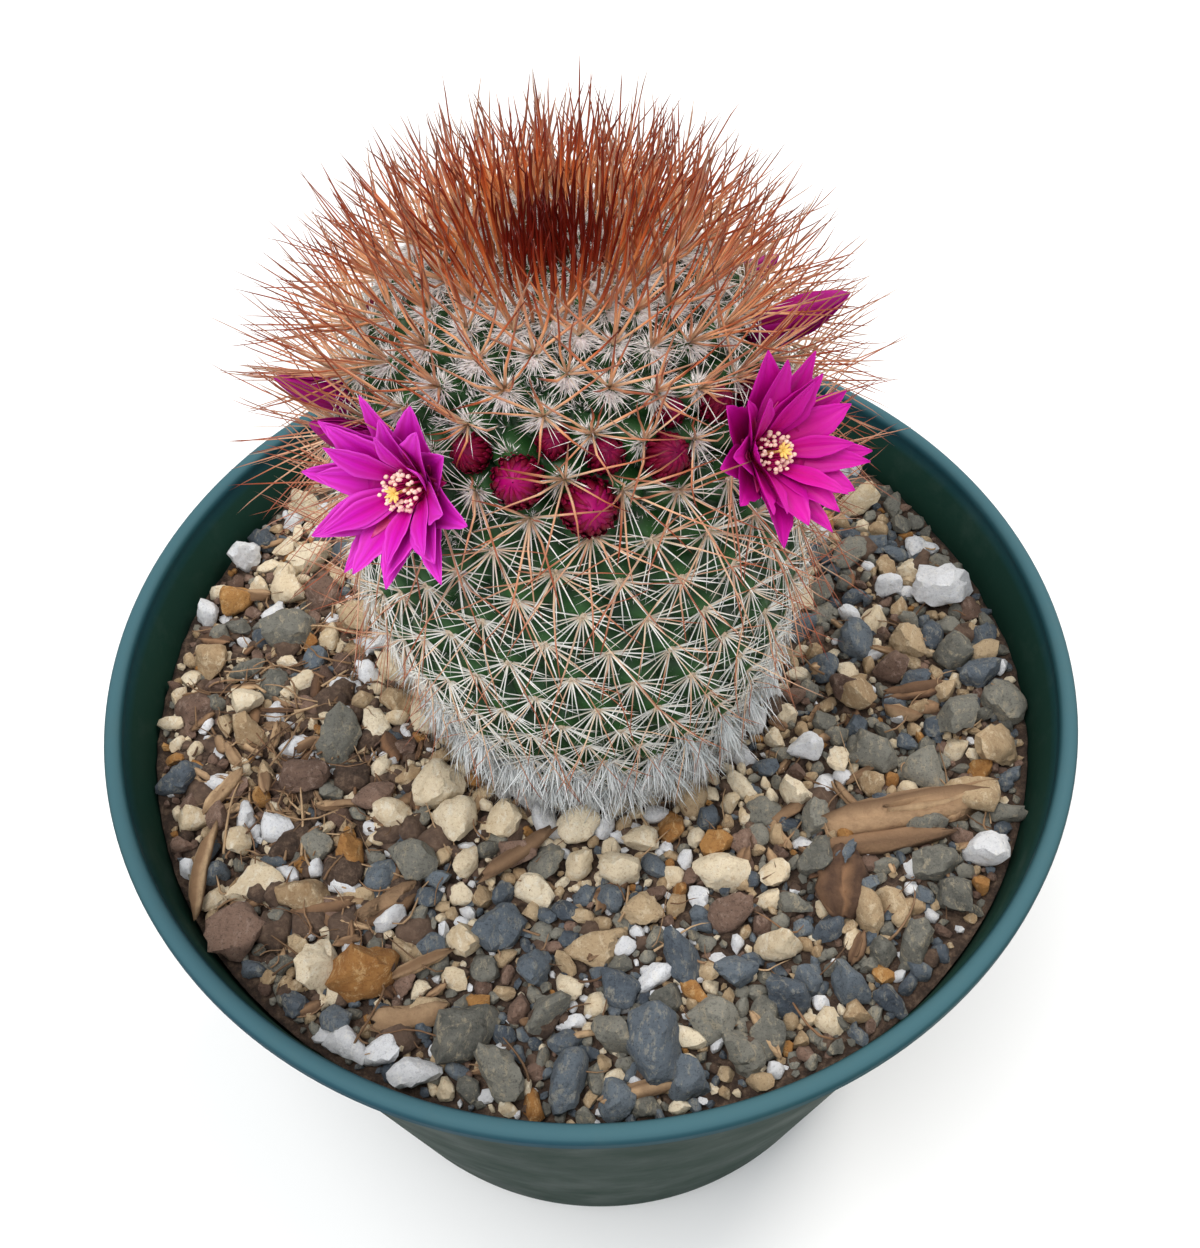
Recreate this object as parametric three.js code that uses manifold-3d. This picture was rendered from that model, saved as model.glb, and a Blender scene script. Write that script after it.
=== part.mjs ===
// A spiny pincushion cactus in flower, growing in gritty soil in a plastic nursery pot.
// Millimetres, +Z up. The origin is the centre of the pot's underside, and the front is -Y.
import * as THREE from "three";
import { mergeVertices } from "three/addons/utils/BufferGeometryUtils.js";
import Module from "manifold-3d";

const wasm = await Module();
wasm.setup();

// Driving dimensions of the pot
const POT_HEIGHT = 108;
const RIM_RADIUS = 76;
const RIM_HEIGHT = 3;
const MOUTH_RADIUS = 73.2;
const WALL = 1.2;
const WALL_TAPER = 0.166; // how much the radius shrinks for each millimetre down
const FOOT_WIDTH = 4.5;
const FOOT_DEPTH = 2.5;
const FLOOR_THICKNESS = 1.5;
const POT_SIDES = 48;
const DRAIN_HOLES = 6;
const DRAIN_RADIUS = 4.5;
const DRAIN_CIRCLE = 38;

// Driving dimensions of the soil and its grit
const SOIL_TOP = POT_HEIGHT - 12;
const SOIL_SIDES = 40;
const ROOT_DEPTH = 9;
const FIT_GAP = 0.3;
const GRIT_KINDS = [
  { count: 40, size: 6.2, faces: 20 },
  { count: 90, size: 4.7, faces: 8 },
  { count: 40, size: 3.4, faces: 8 },
];
const GRIT_OVERLAP = 0.82; // how near two stones lie, as a share of the sum of their sizes

// Driving dimensions of the stem, a barrel that is widest below its middle
const STEM_HEIGHT = 86.6;
const STEM_RADIUS = 32;
const STEM_FOOT_RADIUS = 23.1;
const WIDEST_AT = 0.43; // as a share of the height above the soil
const FLANK_POWER = 1.23;
const DOME_POWER = 2.82;
const STEM_FOOT = new THREE.Vector2(1.5, 3.7);
const STEM_CROWN = new THREE.Vector2(-2.4, 3.2);

// The spiral of areoles, counted from the crown: one for each turn of 99.49 degrees
const DIVERGENCE = 99.486;
const AREOLE_STEP = 0.2527; // millimetres down the surface for each areole
const SPIRAL_START = -81.1; // azimuth of areole 0, in degrees to the right of the front
const SPIRAL_LEAN = 0.075; // how much higher a ring of areoles lies on the right
const FIRST_AREOLE = 36;
const LOWEST_AREOLE_HEIGHT = 4.5;
const TUBERCLE_RELIEF = 3.1;
const AREOLE_RADIUS = 0.62;

// Spines
const SPINE_LENGTH = 15.5;
const LOW_SPINE_SHARE = 0.72; // how much of that length the lowest spines have
const UPPER_SPINE_RISE = 58; // degrees off the skin, for the two upper spines of an areole
const LOWER_SPINE_RISE = 44;
const SPINE_TRIES = 14;
const SPINE_CLEARANCE = 0.42;
const BLOOM_CLEARANCE = 0.7;
const GRIT_CLEARANCE = 6.5;
const CROWN_SPINES = 76;
const CROWN_TUFT_RADIUS = 10.5;
const CROWN_SPINE_LENGTHS = [12.5, 16];

// Flowers and buds: the areole that each grows above, the azimuth that it faces where that isn't
// the root's own, and how steeply its axis rises, in degrees. Where one sits beside the middle of
// its axil, aside says how far round the stem, in degrees, and lower how far down, in millimetres.
const OPEN_FLOWERS = [
  { name: "flower_left", areole: 138, aside: -3, lower: 0.6, face: -31, rise: 32, turn: 8 },
  { name: "flower_right", areole: 157, aside: -2, lower: 1.8, face: 43, rise: 42, turn: 20 },
];
const POINTED_BUDS = [
  { name: "pointed_bud_right", areole: 132, lower: 1.5, face: 84, rise: 34, width: 4.6, length: 14.5 },
  { name: "pointed_bud_left", areole: 145, face: -62, rise: 46, width: 3.8, length: 12.5 },
  { name: "pointed_bud_far_left", areole: 152, rise: 34, width: 3.6, length: 12 },
  { name: "pointed_bud_back_right", areole: 136, lower: 8, rise: 8, width: 3.6, length: 11 },
  { name: "pointed_bud_back", areole: 129, lower: 8, rise: 10, width: 3.8, length: 9.5 },
  { name: "pointed_bud_back_left", areole: 137, lower: 8, rise: 10, width: 3.6, length: 9.5 },
];
const ROUND_BUDS = [
  { name: "bud_front", areole: 142, aside: 2.2, lower: 0.8, face: 10, rise: 42, width: 7 },
  { name: "bud_front_left", areole: 131, rise: 46, width: 6.4 },
  { name: "bud_front_right", areole: 135, aside: 1.2, face: 32, rise: 50, width: 5.8 },
  { name: "bud_upper_left", areole: 113, rise: 56, width: 4 },
  { name: "bud_upper_right", areole: 124, rise: 56, width: 4.6 },
  { name: "bud_high_right", areole: 117, rise: 58, width: 3.6 },
  { name: "bud_beside_left", areole: 120, rise: 48, width: 4.8 },
  { name: "bud_beside_right", areole: 128, rise: 52, width: 4.6 },
  { name: "bud_right", areole: 139, rise: 48, width: 4.2 },
  { name: "bud_back_right", areole: 136, lower: 1.5, rise: 18, width: 4.6 },
  { name: "bud_back_middle", areole: 140, rise: 46, width: 4.8 },
  { name: "bud_back", areole: 144, rise: 44, width: 5.6 },
  { name: "bud_back_left", areole: 148, lower: 1.5, rise: 20, width: 4.2 },
];

// Tube of an open flower: outer radius and height from the root up to the rim of the throat
const FLOWER_TUBE = [
  [1.5, 0.3],
  [1.9, 3],
  [3, 6.4],
];
const PETAL_LAYERS = [
  { count: 10, reach: 10.7, rise: 13.2, width: 3.8, start: 0, root: [2.3, 4.4], bend: [4, 8.8] },
  { count: 9, reach: 8.9, rise: 15.1, width: 3.5, start: 18, root: [2.4, 5.6], bend: [3, 10.9] },
];
const PETAL_THICKNESS = 0.75;
const FLOWER_LENGTH = 16;
const ANTHERS = 14;
const ROUND_BUD_LENGTH = 1.12; // times its width

const COLOURS = {
  pot: { color: 0x3a6a60, roughness: 0.5 },
  soil: { color: 0x9a8468, roughness: 0.95 },
  stem: { color: 0x2c5c2e, roughness: 0.6 },
  petals: { color: 0xc412a4, roughness: 0.55 },
  stamens: { color: 0xe8b24a, roughness: 0.7 },
  bud: { color: 0xa3124e, roughness: 0.6 },
};

// A seeded draw between two numbers
function makeRandom(seed) {
  let state = seed;
  return (low, high) => {
    state = (state * 1664525 + 1013904223) % 4294967296;
    return low + ((high - low) * state) / 4294967296;
  };
}

const radians = THREE.MathUtils.degToRad;

// Turns a closed geometry into a solid, its shared vertices merged
function solidOf(geometry) {
  const bare = geometry.clone();
  bare.deleteAttribute("normal");
  bare.deleteAttribute("uv");
  const merged = mergeVertices(bare, 1e-4);
  return new wasm.Manifold(
    new wasm.Mesh({
      numProp: 3,
      vertProperties: merged.attributes.position.array,
      triVerts: new Uint32Array(merged.index.array),
    }),
  );
}

function geometryOf(solid) {
  const mesh = solid.getMesh();
  const geometry = new THREE.BufferGeometry();
  geometry.setAttribute("position", new THREE.BufferAttribute(mesh.vertProperties, 3));
  geometry.setIndex(new THREE.BufferAttribute(mesh.triVerts, 1));
  geometry.computeVertexNormals();
  return geometry;
}

function indexedGeometry(points, faces) {
  const geometry = new THREE.BufferGeometry();
  const coordinates = points.flatMap((point) => point.toArray());
  geometry.setAttribute("position", new THREE.Float32BufferAttribute(coordinates, 3));
  geometry.setIndex(faces.flat());
  return geometry;
}

// The largest body of a solid, without the loose scraps that a cut leaves
function largestBody(solid) {
  const bodies = solid.decompose();
  return bodies.reduce((best, body) => (body.volume() > best.volume() ? body : best));
}

// Revolves a profile of [radius, height] pairs, listed anticlockwise, about the Z axis
function turned(profile, sides) {
  const points = profile.map(([radius, height]) => new THREE.Vector2(radius, height));
  return new THREE.LatheGeometry(points, sides).rotateX(Math.PI / 2);
}

// Pot

const outerRadiusAt = (z) => MOUTH_RADIUS + WALL - WALL_TAPER * (POT_HEIGHT - z);
const innerRadiusAt = (z) => outerRadiusAt(z) - WALL;
const POT_FLOOR = FOOT_DEPTH + FLOOR_THICKNESS;

function makePot() {
  const top = POT_HEIGHT;
  const underRim = top - RIM_HEIGHT;
  const profile = [
    [outerRadiusAt(0) - FOOT_WIDTH, 0],
    [outerRadiusAt(0), 0],
    [outerRadiusAt(underRim), underRim],
    [RIM_RADIUS, underRim + 0.3],
    [RIM_RADIUS, top - 0.9],
    [RIM_RADIUS - 0.8, top],
    [MOUTH_RADIUS + 0.6, top],
    [MOUTH_RADIUS, top - 0.8],
    [innerRadiusAt(POT_FLOOR), POT_FLOOR],
    [DRAIN_RADIUS, POT_FLOOR],
    [DRAIN_RADIUS, FOOT_DEPTH],
    [outerRadiusAt(0) - FOOT_WIDTH - 1, FOOT_DEPTH],
    [outerRadiusAt(0) - FOOT_WIDTH, 0],
  ];
  let pot = solidOf(turned(profile, POT_SIDES));
  for (let i = 0; i < DRAIN_HOLES; i++) {
    const angle = (2 * Math.PI * i) / DRAIN_HOLES;
    const hole = new THREE.CylinderGeometry(DRAIN_RADIUS, DRAIN_RADIUS, 4 * FLOOR_THICKNESS, 10);
    hole.rotateX(Math.PI / 2);
    hole.translate(DRAIN_CIRCLE * Math.cos(angle), DRAIN_CIRCLE * Math.sin(angle), POT_FLOOR);
    pot = pot.subtract(solidOf(hole));
  }
  return pot;
}

// Stem outline

// Radius and height above the soil along the stem's outline, from the crown down to the soil
class StemOutline extends THREE.Curve {
  getPoint(t, target = new THREE.Vector2()) {
    const widest = WIDEST_AT * STEM_HEIGHT;
    if (t < 0.5) {
      const angle = t * Math.PI;
      const radius = STEM_RADIUS * Math.sin(angle) ** (2 / DOME_POWER);
      const height = widest + (STEM_HEIGHT - widest) * Math.cos(angle) ** (2 / DOME_POWER);
      return target.set(radius, height);
    }
    const below = 2 * t - 1;
    const radius = STEM_RADIUS - (STEM_RADIUS - STEM_FOOT_RADIUS) * below ** FLANK_POWER;
    return target.set(radius, widest * (1 - below));
  }
}

const outline = new StemOutline();
outline.arcLengthDivisions = 800;
const OUTLINE_LENGTH = outline.getLength();

// The outline's radius, height and outward normal at a distance down the surface from the crown
function outlineAt(down) {
  const share = THREE.MathUtils.clamp(down / OUTLINE_LENGTH, 0, 1);
  const point = outline.getPointAt(share);
  const before = outline.getPointAt(Math.max(0, share - 0.004));
  const after = outline.getPointAt(Math.min(1, share + 0.004));
  const along = after.sub(before).normalize();
  return { radius: point.x, height: point.y, normal: new THREE.Vector2(-along.y, along.x) };
}

// Distance down the surface to a height above the soil
function downAtHeight(height) {
  let low = 0;
  let high = OUTLINE_LENGTH;
  for (let i = 0; i < 40; i++) {
    const middle = (low + high) / 2;
    if (outlineAt(middle).height > height) low = middle;
    else high = middle;
  }
  return low;
}

function axisAt(height) {
  const share = height / STEM_HEIGHT;
  return STEM_FOOT.clone().lerp(STEM_CROWN, share);
}

// A place on the stem: position, outward normal, the way up to the crown, and sideways
function stemPlace(azimuth, down, lift = 0) {
  const { radius, height, normal } = outlineAt(down);
  const angle = radians(azimuth);
  const outward = new THREE.Vector3(Math.sin(angle), -Math.cos(angle), 0);
  const axis = axisAt(height);
  const out = outward.clone().multiplyScalar(normal.x).setZ(normal.y);
  const side = new THREE.Vector3(Math.cos(angle), Math.sin(angle), 0);
  const up = new THREE.Vector3().crossVectors(out, side);
  const position = new THREE.Vector3(axis.x, axis.y, SOIL_TOP + height)
    .addScaledVector(outward, radius)
    .addScaledVector(out, lift);
  return { position, out, side, up, height };
}

// How much higher the spiral lies at an azimuth, because the plant leans to the left
const spiralLean = (azimuth, level) =>
  SPIRAL_LEAN * outlineAt(level).radius * Math.sin(radians(azimuth));

function areolePlace(count) {
  const azimuth = SPIRAL_START + DIVERGENCE * count;
  const level = AREOLE_STEP * count;
  return stemPlace(azimuth, level - spiralLean(azimuth, level));
}

// Neighbours along the spiral: 11, 18 and 29 areoles on, and how far each turns, in degrees
const shortTurn = (steps) => {
  const turn = (DIVERGENCE * steps) % 360;
  return turn > 180 ? turn - 360 : turn;
};

// The valley between an areole and its neighbours 29 up and 11 or 18 up
function valley(count, via) {
  const azimuth = SPIRAL_START + DIVERGENCE * count - (shortTurn(via) + shortTurn(29)) / 3;
  const level = AREOLE_STEP * (count - (via + 29) / 3);
  const relief = TUBERCLE_RELIEF * THREE.MathUtils.smoothstep(level, -2, 14);
  return stemPlace(azimuth, level - spiralLean(azimuth, level), -relief).position;
}

// Flowers and buds

// The root and the axis of a flower or bud, which grows in the axil above its areole
function rootOf(bloom) {
  const halfwayUp = 29 / 2;
  const azimuth = SPIRAL_START + DIVERGENCE * bloom.areole - shortTurn(29) / 2 + (bloom.aside ?? 0);
  const level = AREOLE_STEP * (bloom.areole - halfwayUp) + (bloom.lower ?? 0);
  const spot = stemPlace(azimuth, level - spiralLean(azimuth, level), -TUBERCLE_RELIEF);
  const angle = radians(bloom.face ?? azimuth);
  const rise = radians(bloom.rise);
  const outward = new THREE.Vector3(Math.sin(angle), -Math.cos(angle), 0);
  const axis = outward.multiplyScalar(Math.cos(rise)).setZ(Math.sin(rise));
  return { root: spot.position, axis };
}

// Stands a solid made along +Z on its root
function planted(solid, { root, axis }, turn = 0) {
  const turnAndTilt = new THREE.Quaternion()
    .setFromUnitVectors(new THREE.Vector3(0, 0, 1), axis)
    .multiply(new THREE.Quaternion().setFromAxisAngle(new THREE.Vector3(0, 0, 1), radians(turn)));
  const matrix = new THREE.Matrix4().compose(root, turnAndTilt, new THREE.Vector3(1, 1, 1));
  return solid.transform(matrix.elements);
}

// A petal: a pointed blade in the plane of the radius, thickest along its middle
function petal({ root, bend, tip, width, thickness, azimuth, cup }) {
  const path = new THREE.QuadraticBezierCurve(
    new THREE.Vector2(...root),
    new THREE.Vector2(...bend),
    new THREE.Vector2(...tip),
  );
  const stations = [
    { t: 0, width: 0.3, thickness: 1 },
    { t: 0.42, width: 0.78, thickness: 1 },
    { t: 0.72, width: 1, thickness: 0.9 },
  ];
  const angle = radians(azimuth);
  const radial = new THREE.Vector3(Math.cos(angle), Math.sin(angle), 0);
  const side = new THREE.Vector3(-Math.sin(angle), Math.cos(angle), 0);
  const place = (point) => radial.clone().multiplyScalar(point.x).setZ(point.y);
  const points = [];
  for (const station of stations) {
    const middle = path.getPoint(station.t);
    const along = path.getTangent(station.t);
    const face = place(new THREE.Vector2(-along.y, along.x));
    const half = (width / 2) * station.width;
    const thick = (thickness / 2) * station.thickness;
    const centre = place(middle);
    points.push(centre.clone().addScaledVector(side, half).addScaledVector(face, cup * half));
    points.push(centre.clone().addScaledVector(face, thick));
    points.push(centre.clone().addScaledVector(side, -half).addScaledVector(face, cup * half));
    points.push(centre.clone().addScaledVector(face, -thick));
  }
  points.push(place(path.getPoint(1)));
  const faces = [
    [0, 2, 1],
    [0, 3, 2],
  ];
  for (let band = 0; band < stations.length - 1; band++) {
    for (let corner = 0; corner < 4; corner++) {
      const a = 4 * band + corner;
      const b = 4 * band + ((corner + 1) % 4);
      faces.push([a, b, b + 4], [a, b + 4, a + 4]);
    }
  }
  const last = 4 * (stations.length - 1);
  for (let corner = 0; corner < 4; corner++) {
    faces.push([last + corner, last + ((corner + 1) % 4), last + 4]);
  }
  return solidOf(indexedGeometry(points, faces));
}

// An open flower: a tube that widens to a throat, with two layers of pointed petals
function makeCorolla(seed) {
  const random = makeRandom(seed);
  const throat = [
    [2.4, 6.6],
    [1.6, 4.6],
    [0, 4.6],
  ];
  let corolla = solidOf(turned([[0, FLOWER_TUBE[0][1]], ...FLOWER_TUBE, ...throat], 10));
  for (const layer of PETAL_LAYERS) {
    for (let i = 0; i < layer.count; i++) {
      const reach = layer.reach * random(0.92, 1.04);
      const rise = layer.rise + random(-0.9, 0.9);
      corolla = corolla.add(
        petal({
          root: layer.root,
          bend: layer.bend,
          tip: [reach, rise],
          width: layer.width * random(0.9, 1.05),
          thickness: PETAL_THICKNESS,
          azimuth: layer.start + (360 * i) / layer.count + random(-5, 5),
          cup: 0.22,
        }),
      );
    }
  }
  return largestBody(corolla);
}

// The stamens round the stigma, standing in the throat on one foot
function makeStamens(seed) {
  const random = makeRandom(seed);
  const foot = [
    [0, 4.9],
    [0.8, 4.9],
    [0.9, 5.8],
    [0.5, 8.2],
    [0, 8.6],
  ];
  let stamens = solidOf(turned(foot, 8));
  for (let i = 0; i < ANTHERS; i++) {
    const angle = radians((360 * i) / ANTHERS + random(-8, 8));
    const lean = i % 2 ? 1.8 : 1.1;
    const anther = new THREE.Vector3(lean * Math.cos(angle), lean * Math.sin(angle), i % 2 ? 7.9 : 8.8);
    const start = new THREE.Vector3(0.3 * Math.cos(angle), 0.3 * Math.sin(angle), 5.6);
    stamens = stamens.add(needle(anther, start, 0.45));
  }
  return largestBody(stamens);
}

// A bud: a body of revolution whose meridians stand out by turns as the backs of its scales
function budBody({ width, length, power, twist, grow, levels }) {
  const meridians = 8;
  const points = [new THREE.Vector3(0, 0, FIT_GAP - grow)];
  for (let level = 1; level < levels; level++) {
    const share = level / levels;
    const bulge = Math.sin(Math.PI * share ** power) ** 0.8;
    for (let m = 0; m < meridians; m++) {
      const scale = (level + m) % 2 ? 1 : 0.86;
      const radius = (width / 2) * bulge * scale + grow;
      const angle = (2 * Math.PI * m) / meridians + twist * share;
      const height = FIT_GAP + length * share;
      points.push(new THREE.Vector3(radius * Math.cos(angle), radius * Math.sin(angle), height));
    }
  }
  const tip = points.length;
  points.push(new THREE.Vector3(0, 0, FIT_GAP + length + grow));
  const faces = [];
  for (let m = 0; m < meridians; m++) {
    const next = (m + 1) % meridians;
    faces.push([0, 1 + next, 1 + m]);
    for (let level = 0; level < levels - 2; level++) {
      const a = 1 + level * meridians + m;
      const b = 1 + level * meridians + next;
      faces.push([a, b, b + meridians], [a, b + meridians, a + meridians]);
    }
    faces.push([tip - meridians + m, tip - meridians + next, tip]);
  }
  return solidOf(indexedGeometry(points, faces));
}

function roundBud(width, grow) {
  return budBody({ width, length: width * ROUND_BUD_LENGTH, power: 0.9, twist: 0, grow, levels: 5 });
}

function pointedBud(width, length, grow) {
  return budBody({ width, length, power: 0.72, twist: 0.6, grow, levels: 6 });
}

// Spines

// A three-sided needle from a root to its tip
function needle(root, tip, thickness) {
  const along = tip.clone().sub(root).normalize();
  const helper = Math.abs(along.z) > 0.9 ? new THREE.Vector3(1, 0, 0) : new THREE.Vector3(0, 0, 1);
  const u = new THREE.Vector3().crossVectors(along, helper).normalize();
  const v = new THREE.Vector3().crossVectors(along, u);
  const points = [0, 1, 2].map((i) => {
    const angle = (2 * Math.PI * i) / 3;
    return root
      .clone()
      .addScaledVector(u, thickness * Math.cos(angle))
      .addScaledVector(v, thickness * Math.sin(angle));
  });
  points.push(tip);
  const faces = [
    [0, 2, 1],
    [0, 1, 3],
    [1, 2, 3],
    [2, 0, 3],
  ];
  return solidOf(indexedGeometry(points, faces));
}

// The shortest distance between the segments a-b and c-d
function segmentDistance(a, b, c, d) {
  const u = b.clone().sub(a);
  const v = d.clone().sub(c);
  const w = a.clone().sub(c);
  const uu = u.dot(u);
  const uv = u.dot(v);
  const vv = v.dot(v);
  const uw = u.dot(w);
  const vw = v.dot(w);
  const clamp = (x) => THREE.MathUtils.clamp(x, 0, 1);
  const across = uu * vv - uv * uv;
  let s = across > 1e-9 ? clamp((uv * vw - vv * uw) / across) : 0;
  const t = clamp((uv * s + vw) / vv);
  s = clamp((uv * t - uw) / uu);
  return w.addScaledVector(u, s).addScaledVector(v, -t).length();
}

// Whether a spine keeps clear of the flowers and buds, the grit and the spines already placed
function spineIsClear(root, tip, blooms, placed) {
  for (let i = 1; i <= 8; i++) {
    const point = root.clone().lerp(tip, i / 8);
    if (point.z < SOIL_TOP + GRIT_CLEARANCE) return false;
    for (const bloom of blooms) {
      const offset = point.clone().sub(bloom.root);
      const along = offset.dot(bloom.axis);
      if (along < -1 || along > bloom.length + BLOOM_CLEARANCE) continue;
      const aside = offset.addScaledVector(bloom.axis, -along).length();
      if (aside < bloom.radiusAt(along) + BLOOM_CLEARANCE) return false;
    }
  }
  const reach = 2 * SPINE_LENGTH;
  return placed.every(
    (other) =>
      other.root.distanceTo(root) > reach ||
      segmentDistance(other.root, other.tip, root, tip) > SPINE_CLEARANCE,
  );
}

// The stem's skin: a six-sided tubercle for each areole, which holds four spines on a small pad
function makeStem(blooms, lastAreole) {
  const random = makeRandom(77);
  const points = [];
  const faces = [];
  const valleyIndex = new Map();
  const addPoint = (point) => points.push(point) - 1;
  const valleyPoint = (count, via) => {
    const key = count + ":" + via;
    if (!valleyIndex.has(key)) valleyIndex.set(key, addPoint(valley(count, via)));
    return valleyIndex.get(key);
  };
  const edges = new Map();
  const placed = [];
  for (let count = FIRST_AREOLE; count <= lastAreole; count++) {
    const place = areolePlace(count);
    const ring = [
      valleyPoint(count, 18),
      valleyPoint(count, 11),
      valleyPoint(count + 18, 18),
      valleyPoint(count + 29, 11),
      valleyPoint(count + 29, 18),
      valleyPoint(count + 11, 11),
    ];
    ring.forEach((from, i) => edges.set(from + ">" + ring[(i + 1) % 6], [from, ring[(i + 1) % 6]]));
    addTubercle(points, faces, ring, place, addPoint, (root, azimuthOnPad) =>
      drawSpine(root, azimuthOnPad, place, blooms, placed, random),
    );
  }
  closeEnds(points, faces, edges, addPoint);
  return solidOf(indexedGeometry(points, faces));
}

// Joins a tubercle's six valleys to its pad of four corners, and raises a spine on each quarter
function addTubercle(points, faces, ring, place, addPoint, spineTip) {
  const centre = addPoint(place.position);
  const pad = [0, 90, 180, 270].map((turn) => {
    const angle = radians(turn);
    return addPoint(
      place.position
        .clone()
        .addScaledVector(place.up, AREOLE_RADIUS * Math.cos(angle))
        .addScaledVector(place.side, -AREOLE_RADIUS * Math.sin(angle))
        .addScaledVector(place.out, -0.2),
    );
  });
  const [a, b, c, d] = pad;
  faces.push([a, ring[0], ring[1]], [a, ring[1], b], [b, ring[1], ring[2]], [b, ring[2], c]);
  faces.push([c, ring[2], ring[3]], [c, ring[3], ring[4]], [c, ring[4], d], [d, ring[4], ring[5]]);
  faces.push([d, ring[5], a], [a, ring[5], ring[0]]);
  for (let quarter = 0; quarter < 4; quarter++) {
    const from = pad[quarter];
    const to = pad[(quarter + 1) % 4];
    const root = points[centre].clone().add(points[from]).add(points[to]).divideScalar(3);
    const tip = spineTip(root, 45 + 90 * quarter);
    if (!tip) {
      faces.push([centre, from, to]);
      continue;
    }
    const apex = addPoint(tip);
    faces.push([centre, from, apex], [from, to, apex], [to, centre, apex]);
  }
}

// The tip of a spine that leans the given way round its areole, or null where none fits
function drawSpine(root, azimuthOnPad, place, blooms, placed, random) {
  const full = THREE.MathUtils.smoothstep(place.height, 8, 50);
  const upward = Math.cos(radians(azimuthOnPad)) > 0;
  for (let attempt = 0; attempt < SPINE_TRIES; attempt++) {
    const spread = 5 + 2 * attempt;
    const turn = radians(azimuthOnPad + random(-spread, spread));
    const rise = radians((upward ? UPPER_SPINE_RISE : LOWER_SPINE_RISE) + random(-spread, spread));
    const share = THREE.MathUtils.lerp(LOW_SPINE_SHARE, 1, full) * (upward ? 1 : 0.86);
    const length = SPINE_LENGTH * share * random(0.88, 1.04);
    const tip = root
      .clone()
      .addScaledVector(place.out, length * Math.sin(rise))
      .addScaledVector(place.up, length * Math.cos(rise) * Math.cos(turn))
      .addScaledVector(place.side, -length * Math.cos(rise) * Math.sin(turn));
    if (spineIsClear(root, tip, blooms, placed)) {
      placed.push({ root, tip });
      return tip;
    }
  }
  return null;
}

// Closes the skin over the crown, and down to the root under the soil
function closeEnds(points, faces, edges, addPoint) {
  const next = new Map();
  for (const [from, to] of edges.values()) {
    if (!edges.has(to + ">" + from)) next.set(to, from);
  }
  const crown = addPoint(stemPlace(0, 0).position);
  const rootTop = new THREE.Vector3(STEM_FOOT.x, STEM_FOOT.y, SOIL_TOP - ROOT_DEPTH);
  const rootEnd = addPoint(rootTop);
  while (next.size) {
    const loop = [next.keys().next().value];
    for (;;) {
      const following = next.get(loop[loop.length - 1]);
      next.delete(loop[loop.length - 1]);
      if (following === loop[0]) break;
      loop.push(following);
    }
    const meanHeight = loop.reduce((sum, i) => sum + points[i].z, 0) / loop.length;
    const atCrown = meanHeight > SOIL_TOP + STEM_HEIGHT / 2;
    const lower = loop.map((i) => {
      if (atCrown) return i;
      const outward = points[i].clone().sub(rootTop).setZ(0).normalize();
      return addPoint(rootTop.clone().addScaledVector(outward, STEM_FOOT_RADIUS - 5));
    });
    loop.forEach((from, i) => {
      const to = loop[(i + 1) % loop.length];
      const lowFrom = lower[i];
      const lowTo = lower[(i + 1) % loop.length];
      if (atCrown) faces.push([from, to, crown]);
      else faces.push([from, to, lowTo], [from, lowTo, lowFrom], [lowFrom, lowTo, rootEnd]);
    });
  }
}

// The tuft of young spines that stands on the crown
function addCrownSpines(stem) {
  const random = makeRandom(5);
  let whole = stem;
  for (let i = 0; i < CROWN_SPINES; i++) {
    const down = 1 + (CROWN_TUFT_RADIUS - 1) * Math.sqrt((i + 0.5) / CROWN_SPINES);
    const place = stemPlace(SPIRAL_START + 137.5 * i, down, -0.8);
    const outward = place.side.clone().cross(new THREE.Vector3(0, 0, 1));
    const lean = 0.045 * down + random(-0.12, 0.12);
    const direction = new THREE.Vector3(0, 0, 1)
      .addScaledVector(outward, lean)
      .addScaledVector(place.side, random(-0.14, 0.14))
      .normalize();
    const tip = place.position.clone().addScaledVector(direction, random(...CROWN_SPINE_LENGTHS));
    whole = whole.add(needle(place.position, tip, 0.3));
  }
  return whole;
}

// Soil

// An angular stone, half sunk in the soil
function stone(random, faces, size) {
  const shape = faces === 20 ? new THREE.IcosahedronGeometry(1, 0) : new THREE.OctahedronGeometry(1, 0);
  shape.deleteAttribute("normal");
  shape.deleteAttribute("uv");
  const merged = mergeVertices(shape, 1e-4);
  const position = merged.attributes.position;
  for (let i = 0; i < position.count; i++) {
    const swell = random(0.82, 1.12);
    position.setXYZ(i, position.getX(i) * swell, position.getY(i) * swell, position.getZ(i) * swell);
  }
  merged.rotateX(random(0, Math.PI)).rotateY(random(0, Math.PI));
  const long = size * random(0.85, 1.2);
  const broad = size * random(0.75, 1);
  return merged.scale(long, broad, size * 0.72).rotateZ(random(0, Math.PI));
}

// Places for the grit: big stones first, none over another, clear of the stem and of the wall
function gritPlaces(random) {
  const places = [];
  const outer = innerRadiusAt(SOIL_TOP) - 1;
  for (const kind of GRIT_KINDS) {
    for (let made = 0, tries = 0; made < kind.count && tries < 4000; tries++) {
      const size = kind.size * random(0.85, 1.15);
      const radius = outer * Math.sqrt(random(0, 1));
      const angle = random(0, 2 * Math.PI);
      const x = radius * Math.cos(angle);
      const y = radius * Math.sin(angle);
      const fromStem = Math.hypot(x - STEM_FOOT.x, y - STEM_FOOT.y);
      if (radius + 1.25 * size > outer || fromStem - 1.25 * size < STEM_FOOT_RADIUS + 0.5) continue;
      const crowds = ({ x: otherX, y: otherY, size: otherSize }) =>
        Math.hypot(otherX - x, otherY - y) < GRIT_OVERLAP * (otherSize + size);
      if (places.some(crowds)) continue;
      places.push({ x, y, size, faces: kind.faces });
      made++;
    }
  }
  return places;
}

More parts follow.
